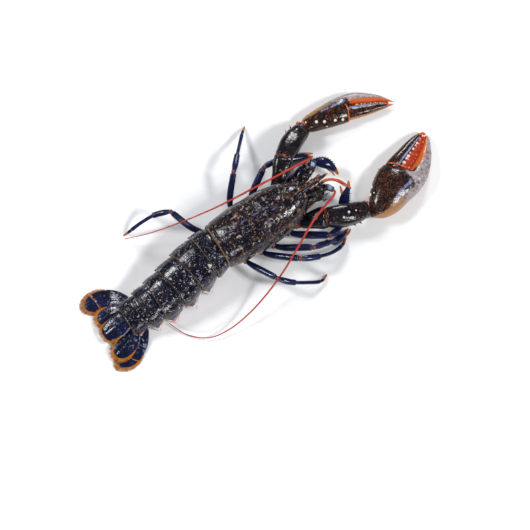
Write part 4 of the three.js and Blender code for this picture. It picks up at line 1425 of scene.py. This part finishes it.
HEADS = (
    Head(
        Side.LEFT,
        stem=((100, 8, 38), (112, 11.5, 41), (121, 14.4, 43), (130, 18, 44.4), (134, 24, 45)),
        scale=((109, 12.5, 45.5), (116, 17, 48), (122.5, 21.6, 49)),
        whip=(
            (133.6, 23.2, 45), (133.2, 25.6, 46), (122, 26.7, 48.6), (98, 27.4, 52), (62, 29.6, 53),
            (22, 33.6, 49.5), (-18, 42, 41), (-50, 53, 27), (-75, 65.5, 13),
        ),
        antennule=((104, 3.2, 45), (118, 4.6, 47), (128, 6, 43), (133, 9, 33), (133, 12.5, 24)),
        lumps=((1, 110.0, 9.5), (2, 119.0, 12.0)),
        # The first dot is a painted glint of the eye, made a pale knob
        dots=((116.6, 14.2, 1.1), (124.0, 8.4, 1.1), (127.6, 7.2, 0.9)),
        whip_nodes=3,
    ),
    Head(
        Side.RIGHT,
        stem=((100, -8, 38), (112, -8.5, 41), (122, -6.4, 43), (130.5, -8.4, 43.4), (135.6, -14.6, 42.6)),
        scale=((110, -11.5, 45), (117.5, -14.8, 47.4), (125.5, -17.6, 47)),
        whip=(
            (134.8, -13, 42.8), (135.4, -16.6, 42.8), (131.6, -20, 43.2), (118, -24.5, 42.6), (100, -31, 41.5),
            (74, -44, 36.5), (46, -57.5, 29.5), (18, -67.5, 21), (-8, -73.6, 13.5), (-34, -75.6, 8),
            (-56, -71, 5.2), (-74, -54.5, 4), (-83, -34.5, 4),
        ),
        antennule=(
            (104, -3.2, 46), (120, -4, 49), (133, -3, 50), (144, -9, 46.5), (149.5, -15, 40), (153.5, -21.5, 35),
        ),
        lumps=((1, 110.0, -9.5), (2, 119.0, -7.6)),
        # The first dot is a painted glint of the eye, made a pale knob
        dots=((116.7, -7.9, 1.1), (123.2, -2.2, 1.0), (128.1, -1.3, 0.9)),
        whip_nodes=4,
    ),
)


@dataclass
class Arm:
    """The three stout joints that carry a claw: hip, upper arm and wrist."""

    side: Side
    # Each joint's curve, and its rows of share, half width and half height
    hip: tuple[Table, Table]
    upper: tuple[Table, Table]
    wrist: tuple[Table, Table]
    # Rows of x, y and radius of the white dots; of foot, tip and radius of the spines; and of x, y, z and
    # radius of the hinge knuckles, all on the wrist
    dots: Table
    spikes: Table
    condyles: Table

    def joint(self, part: tuple[Table, Table], seed: int) -> Surface:
        """A squared oval along a short curve, ridged along its top and rolled at its far rim.

        Args:
            part: Path and half sizes.
            seed: Which bumps.

        Returns:
            The closed skin.
        """
        skin = sweep(part[0], part[1], 80, 80, 0.64, (0.07, 0.08))
        t, turn = share_grid(skin), turns(80)
        skin.raised(
            -0.5 * bell(t, 0.86, 0.03) - 0.4 * bell(turn, 1.1, 0.12) * bell(t, 0.5, 0.3)
            - 0.25 * (noise(skin.points, 6.0, seed) + 1)
        )
        return skin.mask("orange", smooth((t - 0.93) / 0.05)).mask("orange", 0.4 * (1 - smooth((t - 0.03) / 0.04)))

    def membrane(self, start: Sequence[float], end: Sequence[float], radius: float) -> Surface:
        """The soft skin between two joints, a round sleeve pleated by a sine wave along its length.

        Args:
            start: Where it leaves one joint.
            end: Where it meets the next.
            radius: Its radius in millimetres.

        Returns:
            The closed skin, reaching into both joints.
        """
        a, b = np.array(start, float), np.array(end, float)
        inside = (b - a) * 0.6
        skin = sweep([a - inside, (a + b) / 2, b + inside], [[0, radius, radius], [1, radius, radius]], 60, 40)
        return skin.raised(0.3 * np.sin(share_grid(skin) * 60) + 0 * turns(40))

    def build(self) -> None:
        """Mesh the three joints with spines, pale knobs and the membranes between them."""
        word = self.side.word
        piece(f"arm_hip_{word}", [self.joint(self.hip, 1)], LEG_SHELL, "leg", f"claw_base_{word}")
        upper, wrist = self.joint(self.upper, 2), self.joint(self.wrist, 3)
        rim = seat(upper, *self.upper[0][-1][:2])
        upper_spikes = [spine(rim + [-4, s * 5, -1], rim + [1, s * 7, 0.6], 1.3) for s in (-1, 1)]
        piece(f"arm_upper_{word}", [upper, *upper_spikes], ARM_SHELL, "claw", f"claw_arm_{word}")
        spikes = [spine(row[:3], row[3:6], row[6]) for row in self.spikes]
        ends = [ball((x, y, z), (r, r, r * 0.8), 20, 28).mask("orange", 0.95) for x, y, z, r in self.condyles]
        skins = [wrist, *knobs(wrist, self.dots), *spikes, *ends]
        piece(f"arm_wrist_{word}", skins, ARM_SHELL, "claw", f"claw_wrist_{word}")
        joins = [
            self.membrane(self.hip[0][-1], self.upper[0][0], 5.0),
            self.membrane(np.array(self.upper[0][-1]) - 1.5, np.array(self.upper[0][-1]) + [1.5, 0, 1.0], 6.4),
        ]
        piece(f"arm_membranes_{word}", joins, MEMBRANE, "belly")


ARMS = (
    Arm(
        Side.LEFT,
        hip=(((80, 9, 15), (84, 17, 18), (87, 23, 20.5)), ((0, 5.5, 5), (1, 6.2, 6.4))),
        upper=(
            ((88.5, 24, 21.5), (99, 33, 26.5), (114.5, 48.5, 29)),
            ((0, 6.6, 6.5), (0.45, 9, 8.6), (0.85, 10.8, 10), (1, 10, 9)),
        ),
        wrist=(
            ((110, 46.5, 29), (134, 59.6, 22), (153, 66.8, 14.2)),
            ((0, 8.8, 8.4), (0.4, 11.6, 10), (0.8, 10, 8.2), (1, 7.4, 6.6)),
        ),
        dots=((134.5, 64.5, 1.3), (129.5, 61, 1.3), (137.5, 60.5, 1.2), (142, 66, 0.9)),
        spikes=(
            (130, 66, 24, 131.5, 73.5, 25, 1.6), (137, 70, 21, 139, 76, 22, 1.5),
            (124, 61, 27, 124.4, 67.5, 28.5, 1.4),
        ),
        condyles=((152.5, 70.5, 16.6, 3.0), (149, 74.5, 13.5, 2.6), (153.6, 63.2, 15, 2.4)),
    ),
    Arm(
        Side.RIGHT,
        hip=(((80, -9, 15), (84, -15.5, 18), (88, -20.5, 20.5)), ((0, 5.5, 5), (1, 6.2, 6.4))),
        upper=(
            ((90, -21, 22), (102, -26.8, 27), (117, -32.8, 29.5)),
            ((0, 6.4, 6.5), (0.45, 9.4, 8.8), (0.85, 11.8, 10.4), (1, 10.8, 9.4)),
        ),
        wrist=(
            ((112.5, -31.5, 29.6), (138, -42, 24.5), (160.5, -46, 16.6)),
            ((0, 9.8, 9.2), (0.4, 12.4, 10.6), (0.8, 10.4, 9), (1, 8.4, 7.6)),
        ),
        dots=((137.4, -42.5, 1.4), (129.3, -44, 1.3), (145, -44, 0.9)),
        spikes=(
            (136, -51, 22, 138, -56.4, 22, 1.6), (143, -52.4, 20, 145, -57.4, 20, 1.5),
            (128, -47, 26, 127.8, -53, 25, 1.5),
        ),
        condyles=((158.6, -43.4, 20.6, 3.2), (161.5, -39.2, 17, 2.6), (155.5, -51.6, 17, 2.8)),
    ),
)


@dataclass
class Claw:
    """A big claw: the palm with its fixed finger, the moving finger, teeth and knobs."""

    side: Side
    # Place of the wrist, heading to the left of ahead in degrees, and height of the claw's middle there
    wrist: Sequence[float]
    turn: float
    middle: float
    # Rows of distance from the wrist, across to each edge, and half thickness. The palm bites with its
    # second edge and the finger with its first.
    palm: Table
    finger: Table
    # Rows of x, y and radius
    knobs: Table
    # Teeth on an edge, radius of the largest, and the distances between which they stand
    teeth: int
    tooth: float
    teeth_from: float
    teeth_to: float
    # Share across where the palm's pale border ends, and rows of distance and share where its biting band
    # begins
    border: float
    band: Table
    # Rows of distance, across and above, of the bead along the finger's hinge
    hinge: Table
    # Height of the tooth bed above the claw's middle, its half thickness, and height of the claw's tip
    bed_depth: float = -1.0
    bed_height: float = 2.0
    tip_height: float = 7.0

    def place(self, far: Array, across: Array, above: Array) -> Array:
        """Carry points onto the claw's heading, and onto its middle, which slopes by distance squared.

        Args:
            far: Distance from the wrist.
            across: To the left of its heading.
            above: Above its middle.

        Returns:
            Points with a last axis of three.
        """
        c, s = math.cos(math.radians(self.turn)), math.sin(math.radians(self.turn))
        z = self.middle + (self.tip_height - self.middle) * (far / 100) ** 2 + above
        return np.stack([self.wrist[0] + far * c - across * s, self.wrist[1] + far * s + across * c, z], -1)

    def body(self, table: Table, rows: int, seed: int) -> tuple[Surface, Array, Array]:
        """A claw piece: ovals between its two edges, closing round at both ends.

        Args:
            table: Its stations.
            rows: Sections along it.
            seed: Which bumps.

        Returns:
            The skin, and for each point its distance from the wrist and its share from the first edge.
        """
        t = spaced(rows, 0.5)
        far = (table[0][0] + (table[-1][0] - table[0][0]) * t)[:, None]
        edge, other, thick = (v[:, None] for v in stations(table, far[:, 0]).T)
        ends = np.sqrt(1 - (1 - np.clip(np.minimum(t / 0.07, (1 - t) / 0.03), 0, 1)) ** 2)[:, None]
        turn = turns(120)
        reach = (edge + other) / 2 - np.abs(edge - other) / 2 * ends * bulge(np.cos(turn), 0.9)
        skin = Surface(self.place(far + 0 * reach, reach, thick * ends * bulge(np.sin(turn), 0.9)))
        skin.raised(-0.14 * (noise(skin.points, 7.0, seed) + 1) - 0.07 * (noise(skin.points, 2.0, seed + 4) + 1))
        from_first = (reach - edge) / np.where(np.abs(other - edge) < 1e-6, 1e-6, other - edge)
        return skin, far + 0 * reach, from_first

    def row_of_teeth(self, table: Table, column: int, offset: float, seed: int) -> list[Surface]:
        """Teeth along a biting edge, largest near the hinge: ovals half sunk in the edge.

        Args:
            table: Stations of the palm or the finger.
            column: Which column of them is the biting edge.
            offset: How far the row is moved on, in teeth.
            seed: Which scatter.

        Returns:
            The teeth.
        """
        far = self.teeth_from + (self.teeth_to - self.teeth_from) * (np.arange(self.teeth) + offset) / self.teeth
        across = stations(table, far)[:, column - 1]
        size = self.tooth * (1.1 - 0.55 * np.arange(self.teeth) / self.teeth)
        rng = np.random.default_rng(seed)
        size *= rng.uniform(0.6, 1.25, self.teeth)
        far = far + rng.uniform(-0.3, 0.3, self.teeth) * (self.teeth_to - self.teeth_from) / self.teeth
        middle = (stations(self.palm, far)[:, 1] + stations(self.finger, far)[:, 0]) / 2
        across += np.sign(middle - across) * size * 0.45
        centres = self.place(far, across, np.full(self.teeth, self.bed_depth + self.bed_height * 0.75))
        return [ball(c, (r, r, r * 0.9), 12, 16) for c, r in zip(centres, size)]

    def collar(self) -> Surface:
        """The hinge line: a thin round orange bead carried over the palm's far margin."""
        path = self.place(*np.array(self.hinge, float).T)
        return sweep(path, [[0, 0.7, 0.7], [1, 0.7, 0.7]], 60, 14).mask("orange", 0.9)

    def bed(self) -> Surface:
        """The red tooth bed that fills the bite: a low oval between the two biting edges.

        Returns:
            The closed skin.
        """
        far = np.linspace(self.teeth_from - 4, self.teeth_to, 9)
        low = stations(self.palm, far)[:, 1]
        high = stations(self.finger, far)[:, 0]
        half = np.abs(high - low) / 2 + 1.4
        centre = self.place(far, (low + high) / 2, np.full(len(far), self.bed_depth))
        share = np.linspace(0, 1, len(far))
        skin = sweep(centre, np.column_stack([share, half, 0 * half + self.bed_height]), 90, 40)
        return skin.raised(-0.3 * (noise(skin.points, 1.8, 77) + 1))

    def paint_palm(self, palm: Surface, far: Array, share: Array) -> None:
        """Paint the palm: a pale outer border with a painted highlight at its edge, tan below and towards the wrist, an
        orange band at the bite.

        Each band eases across an edge that lies at a share of the width, and noise grains the border.

        Args:
            palm: Its skin.
            far: Distance of each point from the wrist.
            share: Share of the way from the outer edge to the biting edge.
        """
        up = smooth((palm.normals()[..., 2] + 0.5) / 0.5)
        fixed = smooth((far - 46) / 8)
        border = self.border + (0.74 - self.border) * fixed
        grain = 0.16 * noise(palm.points, 1.1, 45) + 0.1 * noise(palm.points, 5.0, 46)
        palm.mask("pale", (0.6 + grain) * smooth((border + 0.06 - share) / (0.26 - 0.1 * fixed)))
        palm.mask("tan", 0.7 * (1 - up))
        band = stations(self.band, far)[..., 0]
        bite = smooth((share - band + 0.03) / 0.05) * smooth((far - 51) / 4) * up
        palm.masks["pale"] = palm.masks["pale"] * (1 - bite)
        palm.mask("orange", 0.95 * bite)
        outer = smooth((border + 0.08 - share) / 0.2) * (1 - bite)
        palm.mask("tan", 0.85 * smooth((50 - far) / 44) * outer)
        palm.mask("orange", smooth((far - (self.palm[-1][0] - 5)) / 4) * 0.7)
        # A painted bluish highlight along the edge of the pale border
        palm.mask("blue", 0.5 * bell(share, border + 0.02, 0.06) * smooth((far - 12) / 10) * (1 - fixed) * up)
        palm.mask("tan", 0.45 * smooth((noise(palm.points, 1.5, 91) - 0.2) / 0.3) * outer)

    def paint_finger(self, finger: Surface, far: Array, share: Array) -> None:
        """Paint the moving finger: a painted pale blue highlight streak along it, an orange tip, and tan below.

        Args:
            finger: Its skin.
            far: Distance of each point from the wrist.
            share: Share of the way from the biting edge to the outer edge.
        """
        top = smooth((finger.normals()[..., 2] + 0.3) / 0.4)
        # A painted highlight: a blue streak with a paler core along the finger's top
        finger.mask("blue", 0.6 * bell(share, 0.17, 0.12) * top * (1 - smooth((far - 94) / 5)))
        finger.mask("pale", 0.45 * bell(share, 0.17, 0.07) * top * (1 - smooth((far - 92) / 5)))
        finger.mask("orange", 0.95 * smooth((far - (self.finger[-1][0] - 10)) / 7))
        finger.mask("tan", 0.8 * smooth((share - 0.86) / 0.1))
        finger.mask("tan", 0.7 * (1 - top))

    def build(self) -> None:
        """Mesh the palm and the finger with their teeth."""
        word = self.side.word
        palm, far, share = self.body(self.palm, 150, 31)
        self.paint_palm(palm, far, share)
        finger, far, share = self.body(self.finger, 110, 53)
        self.paint_finger(finger, far, share)
        bumps = knobs(palm, self.knobs)
        piece(f"claw_palm_skin_{word}", [palm, self.collar()], CLAW_SHELL, "claw", f"claw_palm_{word}")
        piece(f"claw_finger_skin_{word}", [finger], CLAW_SHELL, "claw", f"claw_finger_{word}")
        piece(f"claw_bite_{word}", [self.bed(), *self.row_of_teeth(self.palm, 2, 0.0, 3)], GUM, "claw")
        piece(f"claw_teeth_{word}", [*self.row_of_teeth(self.finger, 1, 0.5, 4), *bumps], ENAMEL, "claw")


CLAWS = (
    Claw(
        Side.LEFT,
        wrist=(154.7, 67.6),
        turn=-14,
        middle=10.1,
        palm=(
            (-6, 7.5, -4, 6), (3, 11.8, -7, 8.6), (22, 17.4, -8.6, 10.5), (38, 21, -8.8, 10), (44.5, 21.8, -8.7, 9),
            (46.5, 22, -7.8, 8.6), (50.5, 22, 8.8, 7.6), (52, 22, 9, 7.2), (60, 21.2, 7.8, 6.2), (74, 16.6, 4.8, 4.8),
            (87, 9.6, 2.4, 3.4), (100.5, -2.2, -3, 1),
        ),
        finger=((44, 8, -7.4, 7), (56, 7, -7.8, 6.6), (66, 5.2, -8, 5.6), (82, 2, -6.8, 3.8), (98, -4, -5.2, 1)),
        knobs=(
            (165.3, 64, 1.8), (173.3, 59.6, 1.8), (183.9, 55.6, 1.7), (191.5, 52.2, 1.6), (173.5, 55, 0.8),
            (198.5, 51, 1.0),
        ),
        teeth=14, tooth=0.85, teeth_from=58, teeth_to=94, border=0.3,
        band=((50, 0.72), (65, 0.65), (83, 0.55), (96, 0.45)),
        hinge=(
            (47.2, 11.5, 6.6), (47.9, 7, 8), (48.2, 2.3, 8.5), (47.2, -3.5, 7.4), (46.2, -7.6, 3.6),
            (45.8, -8.4, -1),
        ),
    ),
    Claw(
        Side.RIGHT,
        wrist=(164, -45.5),
        turn=21.5,
        middle=14,
        palm=(
            (-9, -9.5, -1.5, 6), (-1, -18.5, 3, 10), (10, -25, 9.6, 13), (29.5, -28.8, 16.4, 14.4),
            (42, -31, 17.2, 13.8), (47, -31.4, 15.2, 13), (52, -31.4, 6.8, 12), (57, -31, -7.4, 10.6),
            (61, -30.4, -8.2, 10), (73.3, -26, -7.6, 8.4), (87, -18.4, -4.6, 6), (96, -11, -2.2, 4),
            (102.5, -4.6, 1.2, 2),
        ),
        finger=(
            (42, 4, 15.4, 9), (50, 2, 15.8, 9.1), (56, 0.6, 15.6, 9.2), (66, 1.2, 14.3, 8.2),
            (82, 1.6, 12.3, 6), (95, 2.2, 9.2, 4), (104, -0.6, 4.6, 2),
        ),
        knobs=(
            (169.6, -35, 1.8), (175.6, -28.6, 1.9), (184.4, -20.6, 1.8), (194.4, -14.8, 1.7), (173.5, -36, 0.9),
            (203, -11, 1.1),
        ),
        teeth=9, tooth=1.55, teeth_from=58, teeth_to=99, border=0.24, bed_depth=2.0, bed_height=3.4,
        band=((50, 0.95), (56, 0.85), (70, 0.675), (85, 0.54), (94, 0.62), (104, 0.7)),
        hinge=((46.6, 15.2, 1), (48.6, 13, 6.6), (51.4, 8.1, 9.8), (53.6, 0.8, 11), (56, -6.4, 9.6)),
    ),
)


@dataclass
class Leg:
    """A walking leg: hip length and thigh, shin, hand and toe, with a pincer on the front two pairs."""

    side: Side
    number: int
    # Curves from the hip to the knee, from the knee to the toe, and of the pincer's small finger
    upper: Table
    lower: Table
    pincer: Table = ()
    # Thickness against the usual, and rows of share, half width and half height
    stout: float = 1.0
    upper_half: Table = ((0, 3.6, 3.4), (0.35, 3.4, 3.2), (0.9, 3.5, 3.3), (1, 3.2, 3))
    walking_half: Table = ((0, 3.1, 3), (0.28, 3.2, 3), (0.36, 2.3, 2.3), (0.8, 2, 2), (1, 0.8, 0.8))
    pincered_half: Table = (
        (0, 3.1, 3), (0.3, 3.2, 3), (0.42, 2.8, 2.7), (0.72, 3.4, 3), (0.86, 1.8, 1.6), (1, 0.7, 0.7),
    )

    def scaled(self, rows: Table) -> list[list[float]]:
        """Half sizes times this leg's stoutness."""
        return [[t, w * self.stout, h * self.stout] for t, w, h in rows]

    def build(self) -> None:
        """Mesh the upper and lower lengths."""
        name = f"leg_{self.number}_{self.side.word}"
        upper = jointed(self.upper, self.scaled(self.upper_half), (0, 0.3, 1), neck=0.78, rows=44)
        knee = self.ball_joint(self.upper[-1], self.lower[0])
        piece(f"{name}_thigh", [*upper, knee], LEG_SHELL, "leg", f"{name}_upper")
        half = self.scaled(self.pincered_half if self.pincer else self.walking_half)
        cuts = (0, 0.34, 1) if self.pincer else (0, 0.32, 0.8, 1)
        lower = jointed(self.lower, half, cuts, neck=0.8, rows=60)
        t = share_grid(lower[-1])
        tip = smooth((t - (0.76 if self.pincer else 0.3)) / 0.18)
        lower[-1].mask("orange", tip)
        if self.pincer:
            claw = sweep(self.pincer, [[0, 1.5, 1.5], [0.5, 1.5, 1.4], [1, 0.55, 0.55]], 40, 24)
            lower.append(claw.mask("orange", 0.3 + smooth((share_grid(claw) - 0.25) / 0.3)))
            lower += self.saw(9)
        piece(f"{name}_shin", lower, LEG_SHELL, "leg", f"{name}_lower")

    def saw(self, count: int) -> list[Surface]:
        """Short spines along the outer edge of the hand, leaning forward.

        Args:
            count: How many.

        Returns:
            The spines.
        """
        t = np.linspace(0.46, 0.8, count)
        centre, ahead = curve(self.lower, t)
        out = unit(np.cross([0.0, 0.0, self.side.value], ahead))
        root = centre + out * (stations(self.scaled(self.pincered_half), t)[:, :1] - 0.5)
        tips = root + out * 2.1 + ahead * 1.5
        return [spine(b, e, 0.9, "blue") for b, e in zip(root, tips)]

    def ball_joint(self, end: Sequence[float], start: Sequence[float]) -> Surface:
        """The knuckle between thigh and shin: a small ball, part orange, mostly inside both.

        Args:
            end: Far end of the thigh.
            start: Near end of the shin.

        Returns:
            The closed skin.
        """
        centre = (np.array(end, float) + np.array(start, float)) / 2
        r = 2.7 * self.stout
        return ball(centre, (r, r, r), 20, 28).mask("orange", 0.42)


# Rows of share, half width and half height of a hand that swells before its pincer
STOUT_PINCER = ((0, 3.1, 3), (0.3, 3.2, 3), (0.42, 3, 2.8), (0.66, 4.7, 3.4), (0.86, 2.4, 2), (1, 0.7, 0.7))

LEGS = (
    Leg(
        Side.LEFT, 2, ((66, 11, 15), (84, 20, 9.5), (112, 27.5, 10)),
        ((114.5, 27.8, 10.4), (126, 28.5, 15.5), (139, 26, 22.5), (148.5, 19, 22), (153, 11, 18.5), (154, 3, 15)),
        ((146, 17, 19.5), (149.2, 10, 18), (150, 4, 15.5)), 1.25, pincered_half=STOUT_PINCER,
    ),
    Leg(
        Side.LEFT, 3, ((50, 12, 14), (62.5, 31.5, 19), (88, 48, 30)),
        ((90, 49, 29.5), (104.5, 51.5, 16), (122, 48.4, 6.2), (136, 42.5, 2.9), (145.5, 37.8, -0.2)),
        ((134, 46, 3.4), (141, 43.6, 2.6), (146.8, 40.4, 1.8)), pincered_half=STOUT_PINCER,
    ),
    Leg(
        Side.LEFT, 4, ((34, 12, 14), (38.5, 36, 19), (58.5, 60.5, 32)),
        ((60, 62, 31.5), (72, 75.5, 25.5), (83.5, 88.4, 15), (94, 99.8, 6.2), (101, 106.5, -0.3)), stout=0.95,
    ),
    Leg(
        Side.LEFT, 5, ((17, 11, 14), (-7, 32, 20), (-19.5, 58.8, 32)),
        ((-20.5, 60.8, 31.5), (-35.5, 67.6, 25), (-52, 70.6, 15.5), (-66.5, 71.6, 5.6), (-73, 72.8, -0.3)), stout=0.95,
    ),
    Leg(
        Side.RIGHT, 2, ((66, -10, 14), (80, -27, 14.6), (109, -47.4, 15)),
        (
            (111, -47.8, 14.4), (121, -46, 9.4), (132, -39, 8.2), (139, -29.5, 14.5), (146, -22, 21.5),
            (153, -17, 26.5), (157, -10.8, 29),
        ),
        ((143.5, -22.5, 20.5), (145.2, -16, 24.4), (146.8, -10.4, 26.6)), 1.15, pincered_half=STOUT_PINCER,
    ),
    Leg(
        Side.RIGHT, 3, ((50, -12, 14), (55, -28.5, 19), (85, -52.5, 30)),
        ((87, -53.4, 29.5), (103, -54.8, 20), (113, -55.4, 9), (124, -53, 4.2), (133.5, -49, -0.2)),
        ((120, -55, 6.4), (129, -54.6, 4.2), (135, -51.6, 1.8)), 1.05,
    ),
    Leg(
        Side.RIGHT, 4, ((34, -12, 14), (41, -29, 20), (66.5, -55.5, 32)),
        ((68, -57, 31.5), (86, -63, 24), (103, -65, 13.5), (117, -62.4, 5.6), (126, -56.4, -0.3)),
    ),
    Leg(
        Side.RIGHT, 5, ((17, -11, 14), (21, -28.5, 20), (35, -59.8, 32)),
        ((36, -61.6, 31.5), (46, -70.5, 25.5), (61, -78, 15.5), (77, -83.2, 5.6), (86.5, -79.5, -0.3)), stout=0.95,
    ),
)


@dataclass
class Studio:
    """A pale floor, soft lights, and the camera looking steeply down."""

    # The camera's aim in millimetres, its heading and elevation in degrees, its distance, and the width
    # that its picture takes in at the aim
    aim: Sequence[float] = (34.17, -39.62, 20.0)
    heading: float = 32.5
    elevation: float = 76.0
    distance: float = 2000.0
    frame_width: float = 556.5
    sensor: float = 36.0
    # The floor's half side in metres, and the place on the animal that the lights face
    floor_half: float = 6.0
    lit_place: Sequence[float] = (0.03, -0.01, 0.03)
    # Matt white paint, rolled on: an even pale floor with no gloss of its own
    floor_colours: Sequence[str] = ("#f4f4f4", "#f1f1f1")
    sky_colour: str = "#e4ecfa"
    sky_strength: float = 0.22
    # Each light's name, its metres to the picture's right, top and above the floor, its side, and its watts
    lights: Sequence[tuple[str, float, float, float, float, float]] = (
        ("right", 1.7, -0.6, 1.9, 0.45, 40.0),
        ("left", -1.6, 0.5, 1.8, 0.5, 30.0),
        ("far", 0.4, 2.2, 1.5, 0.5, 27.0),
        ("near", 0.1, -2.2, 1.3, 0.5, 22.0),
    )

    def axes(self) -> tuple[Array, Array, Array]:
        """The picture's right and up, and the way back to the camera, in the animal's frame.

        Returns:
            The three unit axes.
        """
        h, e = math.radians(self.heading), math.radians(self.elevation)
        right = np.array([math.cos(h), -math.sin(h), 0.0])
        along = np.array([math.sin(h), math.cos(h), 0.0])
        up = math.sin(e) * along + math.cos(e) * np.array([0.0, 0.0, 1.0])
        back = -math.cos(e) * along + math.sin(e) * np.array([0.0, 0.0, 1.0])
        return right, up, back

    def turned(self, columns: Sequence[Array], at: Array, obj: bpy.types.Object) -> None:
        """Set an object's place and axes.

        Args:
            columns: Its three unit axes.
            at: Its place in metres.
            obj: The object.
        """
        matrix = np.eye(4)
        matrix[:3, :3] = np.stack(columns, -1)
        matrix[:3, 3] = at
        obj.matrix_world = Matrix(matrix.tolist())

    def camera(self) -> None:
        """The camera: a long lens at the picture's angle, centred on the picture's middle."""
        right, up, back = self.axes()
        data = bpy.data.cameras.new("camera")
        data.sensor_width = self.sensor
        data.lens = self.sensor * self.distance / self.frame_width
        data.clip_end = 20.0
        obj = linked("camera", data)
        at = (np.array(self.aim) + back * self.distance) * MM + Frame.shift
        self.turned((right, up, back), at, obj)
        bpy.context.scene.camera = obj

    def light(self, name: str, right: float, up: float, height: float, size: float, power: float) -> None:
        """An area light over the animal, placed by the picture's directions in metres and aimed at it.

        Args:
            name: Name of the light.
            right: To the picture's right.
            up: Along the floor towards the picture's top.
            height: Above the floor.
            size: Side of the square.
            power: Watts.
        """
        side, _, _ = self.axes()
        h = math.radians(self.heading)
        along = np.array([math.sin(h), math.cos(h), 0.0])
        aim = np.array(self.lit_place)
        at = aim + side * right + along * up + np.array([0.0, 0.0, height])
        back = unit(at - aim)
        x = unit(np.cross([0.0, 1.0, 0.01], back))
        data = bpy.data.lights.new(name, "AREA")
        data.size = size
        data.energy = power
        obj = linked(name, data)
        self.turned((x, np.cross(back, x), back), at, obj)

    def build(self) -> None:
        """Lay the floor, hang the lights and set the camera."""
        side = self.floor_half
        mesh = bpy.data.meshes.new("floor")
        mesh.from_pydata([(-side, -side, 0), (side, -side, 0), (side, side, 0), (-side, side, 0)], [], [(0, 1, 2, 3)])
        floor = linked("floor", mesh)
        mesh.materials.append(Plain("matt_paint_floor", *self.floor_colours, 0.7, tone_mm=400.0).material())
        floor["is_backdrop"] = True
        world = bpy.data.worlds.new("soft_room")
        world.use_nodes = True
        sky = world.node_tree.nodes["Background"]
        sky.inputs["Color"].default_value = linear(self.sky_colour)
        sky.inputs["Strength"].default_value = self.sky_strength
        bpy.context.scene.world = world
        bpy.context.scene.view_settings.view_transform = "Standard"
        for light in self.lights:
            self.light(*light)
        self.camera()
        log.info("studio ready")


def main() -> None:
    """Build the animal and its studio."""
    logging.basicConfig(level=logging.INFO, format="%(name)s: %(message)s")
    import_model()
    Frame.find()
    Studio().build()
    Carapace().build()
    Underside().build()
    Tail().build()
    for part in (*FAN, *HEADS, *ARMS, *CLAWS, *LEGS):
        part.build()


if __name__ == "__main__":
    main()
